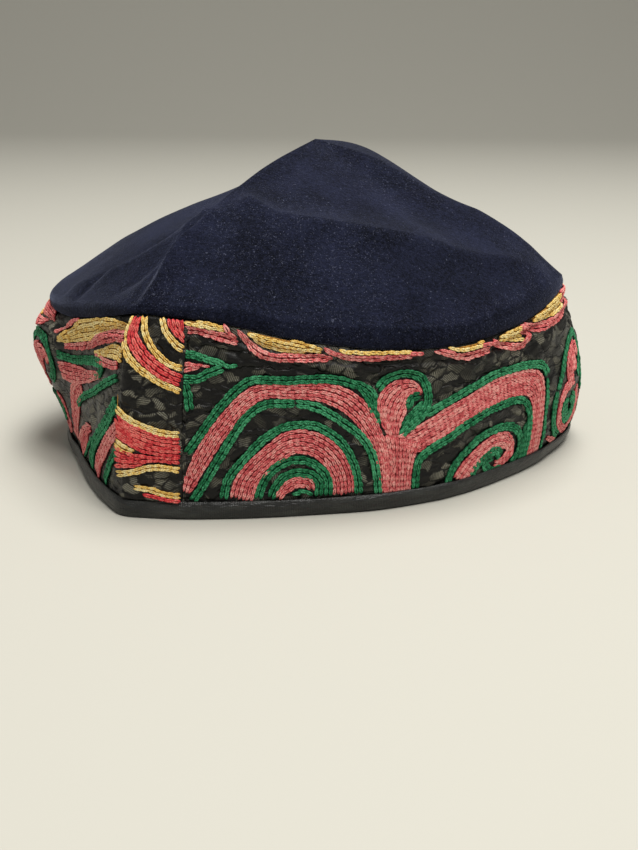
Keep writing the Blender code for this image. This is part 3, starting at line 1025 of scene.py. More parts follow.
def smooth_line(points: Points, spacing: float = 0.3) -> np.ndarray:
    """Draw a smooth line through points, with even steps.

    Between neighbouring points a cubic runs whose slopes are the mean of the two chords' slopes.

    Args:
        points: Places along and up, with any further numbers carried along the same way.
        spacing: Step between the drawn points.

    Returns:
        The line's points.
    """
    given = np.array(points, float)
    if len(given) < 2:
        return given
    chord = np.linalg.norm(np.diff(given[:, :2], axis=0), axis=1)
    at = np.concatenate([[0.0], np.cumsum(chord)])
    slope = np.gradient(given, at, axis=0) if len(given) > 2 else np.diff(given, axis=0)[[0, 0]] / at[1]
    wanted = np.linspace(0.0, at[-1], max(8, int(at[-1] / spacing * 2)))
    piece = np.clip(np.searchsorted(at, wanted, side="right") - 1, 0, len(at) - 2)
    width = (at[piece + 1] - at[piece])[:, None]
    t = (wanted - at[piece])[:, None] / width
    line = (
        (1 + 2 * t) * (1 - t) ** 2 * given[piece]
        + t * (1 - t) ** 2 * width * slope[piece]
        + t**2 * (3 - 2 * t) * given[piece + 1]
        - t**2 * (1 - t) * width * slope[piece + 1]
    )
    run = np.concatenate([[0.0], np.cumsum(np.linalg.norm(np.diff(line[:, :2], axis=0), axis=1))])
    even = np.linspace(0.0, run[-1], max(4, int(run[-1] / spacing)))
    return np.stack([np.interp(even, run, line[:, k]) for k in range(line.shape[1])], -1)


class Layer(Enum):
    """What a stitch is sewn on: how far out its cloth lies from the band's face, in mm."""

    BAND = 0.0
    STRIP = 1.75


@dataclass(frozen=True)
class Rows:
    """Chain-stitch rows of one colour between two edges."""

    dye: Dye
    near: Points
    far: Points
    layer: Layer = Layer.BAND
    pitch: float = 1.35

    @classmethod
    def along(cls, dye: Dye, points: Points, layer: Layer = Layer.BAND, pitch: float = 1.35) -> "Rows":
        """Rows either side of a middle line whose points carry a half width."""
        line = smooth_line(points)
        step = np.gradient(line[:, :2], axis=0)
        side = np.stack([-step[:, 1], step[:, 0]], -1)
        side /= np.linalg.norm(side, axis=1, keepdims=True)
        half = line[:, 2:3]
        near, far = line[:, :2] - side * half, line[:, :2] + side * half
        return cls(dye, tuple(map(tuple, near[::2])), tuple(map(tuple, far[::2])), layer, pitch)

    @classmethod
    def line(
        cls, dye: Dye, points: Points, rows: int = 2, layer: Layer = Layer.BAND, pitch: float = 1.5
    ) -> "Rows":
        """A few rows side by side along one line."""
        wide = [(*point[:2], rows * pitch / 2) for point in points]
        return cls.along(dye, wide, layer, pitch)

    def edges(self) -> tuple[np.ndarray, np.ndarray]:
        """Draw both edges smoothly, with the same number of points."""
        near, far = smooth_line(self.near), smooth_line(self.far)
        count = max(len(near), len(far))
        share = np.linspace(0.0, 1.0, count)
        near = np.stack([np.interp(share, np.linspace(0, 1, len(near)), near[:, k]) for k in (0, 1)], -1)
        far = np.stack([np.interp(share, np.linspace(0, 1, len(far)), far[:, k]) for k in (0, 1)], -1)
        return near, far

    def paths(self) -> list[np.ndarray]:
        """Give the rows' middle lines.

        A row lies at its own share of the way between the edges. Every second row stops where
        the rows come too close together.

        Returns:
            Lines whose columns are along, up and the row's width.
        """
        near, far = self.edges()
        count = len(near)
        width = np.linalg.norm(far - near, axis=1)
        rows = max(1, round(float(np.percentile(width, 80)) / self.pitch))
        found = []
        for row in range(rows):
            middle = near + (far - near) * (row + 0.5) / rows
            apart = width / rows
            tight = apart < self.pitch * 0.62
            kept = ~tight if row % 2 else np.ones(count, bool)
            wide = np.where(tight & (rows > 1), apart * 2, apart)
            line = np.column_stack([middle, np.clip(wide, self.pitch * 0.7, self.pitch * 1.3)])
            edges = np.flatnonzero(np.diff(np.concatenate([[0], kept.astype(int), [0]])))
            for start, end in zip(edges[::2], edges[1::2]):
                if end - start > 3:
                    found.append(line[start:end])
        return found

    def moved(self, distance: float, cloth: BandCloth, with_seam: bool) -> "Rows":
        """The same rows further round the band, following the seam's height if asked."""

        def shifted(points: Points) -> Points:
            """Shift one edge."""
            edge = np.array(points, float)[:, :2]
            up = cloth.seam(edge[:, 0] + distance) - cloth.seam(edge[:, 0]) if with_seam else 0.0
            return tuple(map(tuple, np.column_stack([edge[:, 0] + distance, edge[:, 1] + up])))

        return Rows(self.dye, shifted(self.near), shifted(self.far), self.layer, self.pitch)


P, G, Y, R = Dye.PINK, Dye.GREEN, Dye.YELLOW, Dye.RED

SCROLLS = (
    # the left arch
    Rows.along(P, (
        (0.2, 9, 1.2), (2.6, 15, 2.4), (5.3, 20.5, 2.9), (8.9, 26.5, 2.9), (12.5, 31.5, 2.9),
        (16.6, 36.4, 2.8),
        (20.8, 39.9, 2.7), (25, 41, 2.3), (31, 40.6, 2.3), (38, 40.5, 2.6), (44, 39.7, 3.2),
        (49.5, 37.4, 3.6),
        (53.7, 33.8, 3.6), (57.2, 29, 3.1), (60.2, 22.7, 2.4), (62.2, 14, 1.6), (63, 6, 1.2),
    )),
    Rows.line(G, ((0.4, 21.6), (4.8, 28), (8.8, 34), (12.7, 38.7), (16.2, 42.2), (20, 44.3), (25, 44.4),
                  (31, 44.1),
                  (38, 44.3), (45, 44.1), (49, 43.3), (53, 41.7))),
    Rows(G, ((50.5, 44.1), (55, 42.8), (59.4, 40), (59.8, 35), (61, 29.5)),
         ((52, 41.7), (54.6, 39.2), (56.4, 35.7), (57.6, 32.8), (60.4, 28.8))),
    Rows.line(G, ((2.2, 6), (5.6, 11.5), (9.2, 18), (12.6, 23.8), (15.8, 29.2), (18.8, 33.2),
                  (21.8, 35.6), (25, 36.8),
                  (29.5, 37.1), (33, 37))),
    Rows.line(G, ((34.2, 36.9), (36.5, 36.6), (41, 35.2), (45, 33), (49, 30.2), (53, 27), (56.2, 23.4),
                  (58.6, 18.6),
                  (60, 12.6), (60.8, 6))),
    # the left spiral
    Rows.along(P, (
        (17, 6.6, 3.8), (18.6, 12, 3.8), (22.4, 16.8, 3.7), (27.3, 21.3, 3.7), (33, 24.6, 4), (38, 24.4, 4),
        (43.2, 21.6, 3.9), (47.2, 16.6, 3.7), (49.2, 11, 3.6), (49.4, 6.6, 3.6),
    )),
    Rows.line(G, ((11.6, 7), (12.6, 12), (15, 16), (18.3, 19.9), (22, 24), (25.6, 27.2), (29.6, 29.4),
                  (34.6, 30.2),
                  (39.6, 29.8), (44.8, 27), (48.8, 23.4), (51.8, 18), (53.7, 12), (54.2, 6.6))),
    Rows.line(G, ((22.2, 6.8), (24, 12), (27, 16), (31, 18.4), (36, 18.8), (41, 16.4), (44, 12.5),
                  (44.4, 7))),
    Rows.line(G, ((26.2, 7), (28.2, 11), (31, 13.8), (35, 14.8), (39, 13.8), (41.4, 11), (41.2, 7.2))),
    Rows.along(P, ((28.6, 6.8, 1), (31.3, 10, 1.9), (35, 11.6, 2), (38.3, 10.8, 1.8), (38.8, 8.6, 1))),
    Rows.line(G, ((33, 7.4), (36, 8.3), (39.4, 7.2)), 1),
    # the comma between the arches
    Rows(P, ((64.2, 23.4), (61.8, 28.6), (60, 33), (60, 37), (61.8, 40), (65.2, 42), (69.8, 42.3),
             (73.4, 41), (75.3, 38.2)),
         ((67.4, 23.4), (68.4, 28.6), (70.2, 32.4), (70.6, 34.8), (70.4, 36), (71.2, 37), (72.4, 37.4),
          (73.6, 37.4), (74.4, 37.2))),
    Rows.line(G, ((60.4, 40.4), (63.3, 43), (67.3, 44.4), (71.6, 44.2), (75.3, 42.4), (77, 38.8),
                  (77.2, 34),
                  (75.6, 30.9), (72.6, 28.2), (69.8, 26.2), (68, 24.6))),
    Rows(G, ((75.4, 33), (73, 30.4), (70.4, 28.2), (68.2, 25.8)), ((75.2, 35.5), (72.2, 33), (70, 30.4),
             (68.5, 28.2))),
    Rows.line(G, ((74.2, 37), (72.2, 36.4), (71, 34.9), (71.6, 32.8))),
    # the stem
    Rows(P, ((62.8, 5.4), (62.6, 14), (61.2, 21), (59.2, 25.5)), ((72.4, 5), (72.4, 12), (73.6, 18),
             (75.4, 21.5))),
    # the right arch
    Rows(
        P,
        ((67, 24.4), (72.5, 26.9), (78, 29.1), (84, 31.9), (90, 33.9), (96, 35.7), (102, 37.5), (110, 38.3),
         (120, 38.4), (126, 37.8), (130.4, 35.6), (132.8, 30), (133.5, 24), (134.6, 17), (136, 10),
         (137.2, 5.4)),
        ((70, 20.2), (74, 18.3), (78.5, 20.2), (84, 22.4), (90, 25.4), (96, 27.2), (104, 28.9), (112, 29.8),
         (118.4, 29.8), (123, 28.8), (125.8, 25.6), (127.2, 20), (128, 14), (128.6, 9), (129, 5.4)),
    ),
    Rows.line(G, ((77, 30.8), (81, 32.4), (86, 34.4), (92, 36.5), (98, 38.2), (105, 39.5), (112, 39.9),
                  (120, 39.9),
                  (127, 39.4), (131.6, 37.8), (133.8, 34.6))),
    Rows.line(G, ((133.8, 33), (134.4, 28), (135.2, 20), (136.8, 12), (138.6, 6)), 1),
    Rows.line(G, ((73.9, 6), (73.9, 11), (75, 16), (79, 18.9), (85, 21.4), (91, 24.5), (97, 26.4),
                  (104, 27.8),
                  (112, 28.4), (117.4, 28.5), (121.6, 27.3), (124.4, 24), (126.2, 17.6), (126.8, 11),
                  (127, 5.6))),
    # the right spiral
    Rows.along(P, (
        (92, 5.4, 3.7), (94.2, 8.6, 3.6), (98, 12.2, 3.3), (104, 14.9, 3), (110, 15.8, 2.9), (115, 14, 2.7),
        (116.8, 10.8, 2.2), (114, 7.8, 1.5), (109, 7.4, 0.9),
    )),
    Rows.line(G, ((86.8, 5.4), (87.6, 9), (90.4, 13), (95, 16.8), (100, 19.2), (107, 20.3), (113, 20.1),
                  (118, 18.3),
                  (121.4, 14.4), (121.9, 9), (119, 5.6))),
    Rows.line(G, ((97.4, 5.6), (98.4, 7.8), (101, 10.2), (105, 12), (108.5, 12.6), (110.8, 11),
                  (109.6, 9.4))),
    Rows.line(G, ((113, 4.9), (108.6, 4.9), (105.4, 6.4), (103.6, 8.8), (105, 10.2), (107.6, 10.2))),
    Rows(G, ((122.6, 5.4), (123.4, 9), (123.6, 13), (122.6, 17)), ((126.4, 5.4), (126.6, 10),
             (126.2, 15), (124.4, 19))),
)

BUDS = (
    # the bud past the right corner, and the ring under it
    Rows.along(P, ((154.6, 27.6, 2), (154, 31, 4.4), (155.6, 35, 6), (158.6, 38, 4), (163, 38.4, 2.2),
                   (165.4, 35.4, 1.2))),
    Rows.line(G, ((142.6, 27.4), (145, 31.6), (146.6, 36.4), (149.8, 41.2), (154, 43.9), (160, 44.4),
                  (165, 42.6),
                  (167.4, 38), (166.4, 32), (162.4, 28.4))),
    Rows.along(P, ((157.6, 27.4, 1.6), (150.2, 25.6, 2), (146.2, 21.4, 2), (147.4, 16, 1.9),
                   (152.6, 11.2, 1.8),
                   (159, 8.4, 1.6), (163.6, 11, 1.6), (164.8, 17, 1.6), (162, 23.6, 1.6))),
    Rows.line(G, ((141, 26.4), (140.6, 22), (142, 16), (147, 10.8), (152, 7.8))),
    Rows.line(G, ((150.6, 21.4), (151.8, 16.6), (156, 13.4), (159.8, 15), (159.8, 19), (156, 21.8)), 3),
    Rows.along(P, ((142, 9.2, 0.9), (146.6, 7.4, 1.2), (152, 6, 1.1))),
)

SPRIG = (
    # the bud beside the strip
    Rows(P, ((-1.6, 50.2), (2.4, 49.6), (6.4, 48.8)), ((-1.6, 46.2), (2.4, 47.4), (6.4, 48.4))),
    Rows.line(G, ((-2, 53), (2, 52.5), (6, 51.1), (9.6, 50.3), (12, 48.8), (15, 48.8)), 1),
    Rows.line(G, ((-1.6, 51.6), (2.4, 51.2), (6.4, 50.1), (10, 49)), 1),
    Rows.line(G, ((-1.6, 44.6), (3, 44.8), (7, 46.7), (11, 48.2))),
    Rows.line(G, ((-0.6, 43), (0.4, 40), (0.8, 37), (1.2, 35.2))),
)

LEAVES = (
    # along the seam, from the strip to the right corner
    Rows(Y, ((-2, 63.4), (0, 63), (5, 62.2), (10.4, 61)), ((-2, 60.3), (0, 60.1), (5, 59.4), (10.6, 58.8))),
    Rows(P, ((-2, 60.6), (2, 60.2), (6, 59.5), (10.4, 58.9), (14.9, 56.6)), ((-2, 58.2), (2, 58),
             (6, 56.9), (10, 56), (14.4, 54.9))),
    Rows.along(P, ((10.8, 60.6, 0.9), (12.4, 59, 0.9), (14, 57.2, 0.8))),
    Rows(P, ((15.2, 60), (18.6, 57.4), (21.6, 54.9), (25.4, 53.1), (30.4, 52.5), (38, 52.1), (43, 51.8),
             (45, 50.6)),
         ((15.4, 58.4), (17.4, 55.4), (20.6, 52.2), (25, 50.2), (30, 49.6), (38, 49.5), (42, 49.5),
          (44.6, 49.6))),
    Rows(Y, ((18, 60.2), (24, 59), (30, 57.4), (36, 55.8), (41.8, 53.4)), ((18.8, 57.6), (22, 55),
             (26, 53.4), (31, 52.5), (41, 52))),
    Rows(P, ((42.6, 54.2), (46.4, 52.7), (50, 51.7), (57, 51.1), (66, 50.8), (75, 50.9)),
         ((43, 52.4), (46.6, 50.7), (50.4, 49.6), (57, 49), (66, 48.9), (75, 49.4))),
    Rows.line(Y, ((47.6, 53), (50, 52.4), (57, 51.8), (66, 51.5), (75, 51.4)), 1),
    Rows(P, ((79.4, 52), (84.6, 50.8), (88, 49.6), (92, 49.1), (97, 49.5), (101.6, 50)),
         ((79.8, 50.2), (84, 48.4), (88, 47), (92, 46.4), (97, 46.7), (101, 47.4))),
    Rows(Y, ((84, 53), (88, 52.6), (93, 52.6), (98.4, 52.6)), ((85, 50.6), (88.6, 49.5), (93, 49.2),
             (98.2, 49.8))),
    Rows.along(P, ((97.6, 50.4, 0.9), (101.4, 50.6, 1), (104.8, 50.8, 0.9))),
    Rows(P, ((103, 52.2), (105.4, 51), (110, 49.8), (115, 48.8), (118.2, 48.6), (120.2, 50), (121.6, 51.8)),
         ((102.6, 50.4), (105, 48.8), (110, 47.2), (115, 46), (119.4, 45.9), (121.8, 47.6), (123, 50.4))),
    Rows(Y, ((105.6, 53.4), (111, 54.6), (117.2, 55.8)), ((106.4, 51), (112, 49.5), (118.6, 48.8))),
    Rows.along(P, ((117, 53.4, 1.6), (119.4, 52.6, 1.8), (121.8, 51.4, 1.2))),
    Rows(P, ((117.6, 55.6), (124.6, 54), (134, 53.8), (141, 54.6), (146, 55.8), (153, 57), (160, 57.8)),
         ((118, 53.4), (124.8, 50.9), (134, 50.4), (141, 50.9), (146, 52.2), (153, 54), (160, 54.9))),
    Rows(Y, ((122.4, 57.6), (132, 59.8), (140, 61.6), (147, 62.6)), ((124.6, 54.1), (133, 53.8),
             (140, 54.6), (147, 56))),
    Rows(P, ((146, 62.2), (152, 61.8), (160, 61.2), (167, 60.2)), ((147.6, 57.2), (152, 57.6),
             (160, 57.6), (167, 57))),
)

LEFT_SIDE = (
    # left of the strip, where the wall faces away
    Rows(Y, ((-75, 45.6), (-70, 48.4), (-65, 51.4), (-60, 54.2), (-50, 57), (-40, 58.9), (-30, 59.6),
             (-22.4, 59.4)),
         ((-75, 44.3), (-68, 45.4), (-62, 46.6), (-55, 48.2), (-48, 50.2), (-42, 53.3), (-34, 56.4),
          (-22.4, 57.7))),
    Rows(P, ((-22.4, 57.8), (-30, 57), (-37, 55.6), (-42.6, 53.2), (-48, 50.4), (-55, 48), (-62, 46.2),
             (-70, 44.4)),
         ((-22.4, 53.8), (-30, 52.9), (-37, 51.2), (-44, 49.1), (-50, 46.9), (-58, 44.9), (-64, 43.8),
          (-70, 42.8))),
    Rows.line(P, ((-75, 47.2), (-70, 50.1), (-63, 53.7), (-57, 55.9)), 1),
    Rows(Y, ((-46, 46.6), (-40, 49.2), (-34, 51.6), (-28, 52.7), (-22.6, 52.5)), ((-44, 46.2),
             (-38, 46.9), (-34, 47.4), (-28, 48), (-22.6, 48.2))),
    Rows.line(P, ((-45, 45.3), (-38, 45.3), (-30, 45.9), (-24.6, 47))),
    Rows.line(G, ((-75, 40), (-65, 40.1), (-58, 41.4), (-50, 43), (-44, 44), (-38.6, 43.4), (-40.4, 41),
                  (-45, 39.2), (-52, 37.2))),
    Rows(P, ((-75, 37.6), (-68, 38.4), (-60, 38.9), (-52, 39), (-43, 40.6), (-40.4, 40.2)),
         ((-75, 31), (-69, 30.8), (-62, 32), (-54, 34.4), (-47, 37), (-41, 39))),
    Rows.along(P, ((-62, 31.6, 2.6), (-66.6, 28, 3.8), (-70.2, 21.6, 3.9), (-73.4, 15, 3.2),
                   (-76, 9, 2.6))),
    Rows.line(G, ((-25, 43), (-32, 40), (-40, 36.5), (-46, 33.4), (-55, 30), (-61, 27.4), (-67, 23.4))),
    Rows.line(G, ((-24, 36), (-28, 31.4), (-33, 26.2), (-40, 20.6), (-45, 16), (-48.4, 10.6),
                  (-49.8, 6.6)), 3),
    Rows.along(P, ((-23.4, 27.6, 2.2), (-29, 23, 2.7), (-35, 17, 2.8), (-40, 11.4, 2.8),
                   (-42.6, 6.6, 2.6))),
    Rows.line(G, ((-22.4, 22), (-26, 18), (-30, 13), (-33, 8.6), (-34.2, 6.6))),
    Rows.along(P, ((-50.6, 19.4, 0.9), (-55.4, 17.4, 2.4), (-60, 14, 3.9), (-64.4, 10.4, 4.2),
                   (-68, 7.4, 3.4))),
    Rows.line(G, ((-48.6, 17), (-52.6, 12.6), (-57.4, 9.4), (-62, 6.4)), 1),
)

S = Layer.STRIP
STRIP_BANDS = (
    Rows.line(Y, ((-20.6, 61.6), (-21.4, 56.6), (-19.8, 52.6), (-16, 48.4), (-11, 45.2), (-6, 42.7),
                  (-2, 41.2)), 2, S, 1.12),
    Rows.along(R, ((-18.2, 61.8, 1.3), (-18.4, 57, 1.8), (-14.9, 52, 2.1), (-10, 48.2, 2.1),
                   (-6, 45.9, 2), (-2, 44.4, 1.9)), S),
    Rows.line(Y, ((-15.8, 62), (-14.8, 58), (-12.8, 55), (-9.8, 52), (-7, 49.9), (-4, 48.5),
                  (-2, 48.1)), 2, S, 1.12),
    Rows.line(Y, ((-9.8, 62), (-8.3, 59), (-6.2, 56.6), (-4, 54.8), (-2, 53.6)), 2, S, 1.12),
    Rows(R, ((-8.4, 62), (-6.9, 59.7), (-4.8, 57.7), (-1.8, 55.6)), ((-2.2, 62), (-2.1, 60.4), (-2, 59),
             (-1.9, 57.8)), S),
    Rows.line(Y, ((-25.4, 38.6), (-22.6, 36), (-20, 34), (-17, 31.9), (-12, 29.7), (-7, 28.2),
                  (-2, 27.6)), 2, S, 1.12),
    Rows(R, ((-24, 35.6), (-20.6, 33), (-17, 30.9), (-12, 28.8), (-7, 27.3), (-2, 26.7)),
         ((-22.6, 26.6), (-18, 24.2), (-14, 21.9), (-9, 20.8), (-5, 20.6), (-2, 20.6)), S),
    Rows(R, ((-22, 23.4), (-18, 21.8), (-14, 20.9), (-9, 20.4), (-5, 20.4), (-2, 20.5)),
         ((-21.6, 15.2), (-16, 16.5), (-12, 17.9), (-7, 18.4), (-2, 17.7)), S),
    Rows.along(Y, ((-24.4, 26.4, 1.0), (-21.4, 24, 1.6), (-18.4, 22.2, 1.4), (-16, 21.6, 0.8)), S),
    Rows.line(Y, ((-21.4, 13.6), (-16, 15), (-12, 16.5), (-7, 17), (-2, 16.3)), 2, S, 1.12),
    Rows.line(Y, ((-15.4, 9.9), (-11, 9.6), (-6, 8.3), (-2, 7.8)), 2, S, 1.0),
    Rows.line(R, ((-12.6, 7.9), (-9, 7.3), (-5.6, 6.4), (-2, 6)), 1, S),
)


@dataclass
class ChainStitch:
    """Makes rows into loops of thread that lie on the cloth."""

    cloth: BandCloth
    step: float = 2.0
    thread: float = 0.30
    overlap: float = 1.34
    turns: int = 8
    sides: int = 4
    foot: float = 5.6
    strip_left: float = -21.0
    under_hem: float = 0.2
    look_ahead: float = 0.6
    uneven_step: float = 0.12
    uneven_turn: float = 0.10
    uneven_height: float = 0.09
    uneven_tone: float = 0.10
    uneven_row: float = 0.07
    drop_power: float = 0.8
    drop_width: float = 1.12
    usual_size: tuple[float, float] = (2.4, 0.62)
    arch: float = 0.24
    ply_run: float = 5.2
    bed_lift: float = 0.20
    bed_sink: float = 0.05
    # the bed's tone, kept dark: painted shade between the rows
    bed_painted_shade: float = 0.12

    def sew(self, rows: Iterable[Rows], seed: int) -> dict[str, np.ndarray]:
        """Work out where each stitch lies.

        Along each row the stitches are a step apart, give or take, each turned the way the row runs.

        Args:
            rows: The areas to sew.
            seed: Picks the hand's unevenness.

        Returns:
            Arrays with a value for each stitch.
        """
        chance = np.random.default_rng(seed)
        kept = []
        for area in rows:
            for path in area.paths():
                run = np.linalg.norm(np.diff(path[:, :2], axis=0), axis=1)
                at = np.concatenate([[0.0], np.cumsum(run)])
                count = max(1, round(at[-1] / self.step))
                length = at[-1] / count
                early_late = chance.uniform(-self.uneven_step, self.uneven_step, count)
                places = (np.arange(count) + 0.5 + early_late) * length
                u, h, width = (np.interp(places, at, path[:, k]) for k in range(3))
                ahead = np.minimum(places + self.look_ahead, at[-1])
                behind = np.maximum(places - self.look_ahead, 0.0)
                du = np.interp(ahead, at, path[:, 0]) - np.interp(behind, at, path[:, 0])
                dh = np.interp(ahead, at, path[:, 1]) - np.interp(behind, at, path[:, 1])
                turn = np.arctan2(dh, du) + chance.normal(0.0, self.uneven_turn, count)
                tone = 0.5 + chance.normal(0.0, self.uneven_tone, count) + chance.normal(0.0, self.uneven_row)
                tone = np.clip(tone, 0.0, 1.0)
                base = np.full(count, area.layer.value)
                size = np.full(count, length)
                up = h + chance.normal(0.0, self.uneven_height, count)
                kept.append(np.stack([u, up, turn, size, width, base, tone], -1))
        found = np.concatenate(kept)
        off_strip = (found[:, 5] > 0.0) & (found[:, 0] < self.strip_left)
        under_velvet = found[:, 1] > self.cloth.seam(found[:, 0]) - self.under_hem
        found = found[(found[:, 1] > self.foot) & ~off_strip & ~under_velvet]
        names = ("u", "h", "turn", "length", "width", "base", "tone")
        return {name: found[:, k] for k, name in enumerate(names)}

    def loops(self, stitch: dict[str, np.ndarray], seed: int) -> "Sewn":
        """Make the loops of thread.

        A loop goes out and back as a drop: along = (1 - cos a) / 2, across = sin a times a low
        power of sin(a/2), narrow at its start. It rises in the middle and is held down at both
        ends. Painted shade darkens the thread's underside and its held ends, and painted light
        brightens its top and the middle of the loop.

        Args:
            stitch: What sew gave.
            seed: Picks the small differences in thickness.

        Returns:
            The loops' arrays.
        """
        count = len(stitch["u"])
        chance = np.random.default_rng(seed)
        turn = np.linspace(0.0, 2 * math.pi, self.turns, endpoint=False) + math.pi / self.turns * 0.5
        along = (1 - np.cos(turn)) / 2
        across = np.sin(turn) * np.sin(turn / 2) ** self.drop_power * self.drop_width
        rise = np.sin(np.pi * along)
        side = np.linspace(0.0, 2 * math.pi, self.sides, endpoint=False) + math.pi / self.sides
        drop = np.stack([along, across], -1)
        ahead = np.roll(drop, -1, axis=0) - np.roll(drop, 1, axis=0)
        ahead *= np.array(self.usual_size)
        ahead /= np.linalg.norm(ahead, axis=1, keepdims=True)
        outward = np.stack([ahead[:, 1], -ahead[:, 0]], -1)
        thick = self.thread * chance.uniform(0.9, 1.12, count) * np.clip(stitch["width"] / 1.2, 0.8, 1.5)
        reach = np.maximum(stitch["width"] / 2 - thick * 0.90, 0.16) * chance.uniform(0.92, 1.12, count)
        size = stitch["length"] * self.overlap
        shape = (count, self.turns, self.sides)
        x = (along[None, :, None] - 0.5) * size[:, None, None]
        y = across[None, :, None] * reach[:, None, None]
        x = x + thick[:, None, None] * outward[None, :, None, 0] * np.cos(side)
        y = y + thick[:, None, None] * outward[None, :, None, 1] * np.cos(side)
        z = thick[:, None, None] * (0.80 + np.sin(side)) + self.arch * rise[None, :, None]
        z = np.broadcast_to(z + stitch["base"][:, None, None], shape)
        c, s = np.cos(stitch["turn"])[:, None, None], np.sin(stitch["turn"])[:, None, None]
        u = np.broadcast_to(stitch["u"][:, None, None] + x * c - y * s, shape).ravel()
        h = np.broadcast_to(stitch["h"][:, None, None] + x * s + y * c, shape).ravel()
        on_band = (stitch["base"] < 1.0).repeat(self.turns * self.sides)
        lift = z.ravel() + np.where(on_band, self.cloth.relief(u, h), 0.0)
        points = self.cloth.place(u, h, lift)
        row, column = np.arange(self.turns)[:, None], np.arange(self.sides)[None, :]
        beside, above = (column + 1) % self.sides, (row + 1) % self.turns
        quad = [row * self.sides + column, above * self.sides + column]
        quad += [above * self.sides + beside, row * self.sides + beside]
        quad = np.stack(np.broadcast_arrays(*quad), -1).reshape(-1, 4)
        faces = (np.arange(count)[:, None, None] * (self.turns * self.sides) + quad).reshape(-1, 4)
        round_it = np.stack([column, column, column + 1, column + 1], -1) / self.sides
        down_it = np.stack([row, row + 1, row + 1, row], -1) / self.turns * self.ply_run
        flat = np.stack(np.broadcast_arrays(round_it, down_it), -1).reshape(-1, 2)
        pattern = np.tile(flat, (count, 1))
        # painted light and shade: lighter on top of the thread and at the loop's middle, darker underneath
        # and at the held ends
        lit = 0.30 * np.sin(side)[None, None, :] + 0.42 * (rise[None, :, None] - 0.6)
        shade = np.clip(stitch["tone"][:, None, None] + lit, 0.0, 1.0)
        return Sewn(points, faces, pattern, np.broadcast_to(shade, shape).ravel())

    def bed(self, area: Rows) -> "Sewn":
        """Make the thin bed of thread that shows between an area's rows.

        A sheet between the area's edges, drawn in by a third of a row, a hair thick. Its dark tone
        is painted shade between the rows.

        Args:
            area: The rows.

        Returns:
            The bed's arrays.
        """
        near, far = area.edges()
        pick = np.linspace(0, len(near) - 1, max(3, round(len(near) * 0.3 / 1.8))).astype(int)
        near, far = near[pick], far[pick]
        width = np.linalg.norm(far - near, axis=1)
        inset = np.minimum(0.36 * area.pitch / np.maximum(width, 0.1), 0.42)
        across = np.linspace(0.0, 1.0, max(2, round(float(width.max()) / 1.9) + 1))[None, :]
        share = (inset[:, None] + (1 - 2 * inset[:, None]) * across)[..., None]
        grid = near[:, None] + (far - near)[:, None] * share
        grid[..., 1] = np.clip(grid[..., 1], self.foot - 0.6, self.cloth.seam(grid[..., 0]) - 0.4)
        if area.layer is Layer.STRIP:
            grid[..., 0] = np.maximum(grid[..., 0], self.strip_left)
        step = np.gradient(grid, axis=0)
        beside = np.gradient(grid, axis=1)
        if np.mean(beside[..., 0] * step[..., 1] - beside[..., 1] * step[..., 0]) < 0:
            grid = grid[:, ::-1]
        u, h = grid[..., 0], grid[..., 1]
        on_band = area.layer is Layer.BAND
        base = area.layer.value + (self.cloth.relief(u, h) if on_band else 0.0)
        outer = self.cloth.place(u, h, base + self.bed_lift)
        points, faces = slab(outer, self.cloth.place(u, h, base - self.bed_sink))
        flat = np.tile(np.stack([u, h], -1).reshape(-1, 2), (2, 1))
        # the bed is dyed dark: painted shade between the rows
        return Sewn(points, faces, flat[faces.ravel()], np.full(len(points), self.bed_painted_shade))


@dataclass
class Sewn:
    """Points, quads, flat places of the quads' corners, and shades, ready to be one mesh."""

    points: np.ndarray
    faces: np.ndarray
    pattern: np.ndarray
    shade: np.ndarray

    @staticmethod
    def joined(parts: Sequence["Sewn"]) -> "Sewn":
        """Put several parts together, with their corner numbers moved on."""
        starts = np.concatenate([[0], np.cumsum([len(part.points) for part in parts])[:-1]])
        return Sewn(
            np.concatenate([part.points for part in parts]),
            np.concatenate([part.faces + start for part, start in zip(parts, starts)]),
            np.concatenate([part.pattern for part in parts]),
            np.concatenate([part.shade for part in parts]),
        )


STRETCHES = {
    "front": (-24.0, 147.0),
    "right": (147.0, 300.0),
    "back": (300.0, 440.0),
    "left": (440.0, 560.0),
}


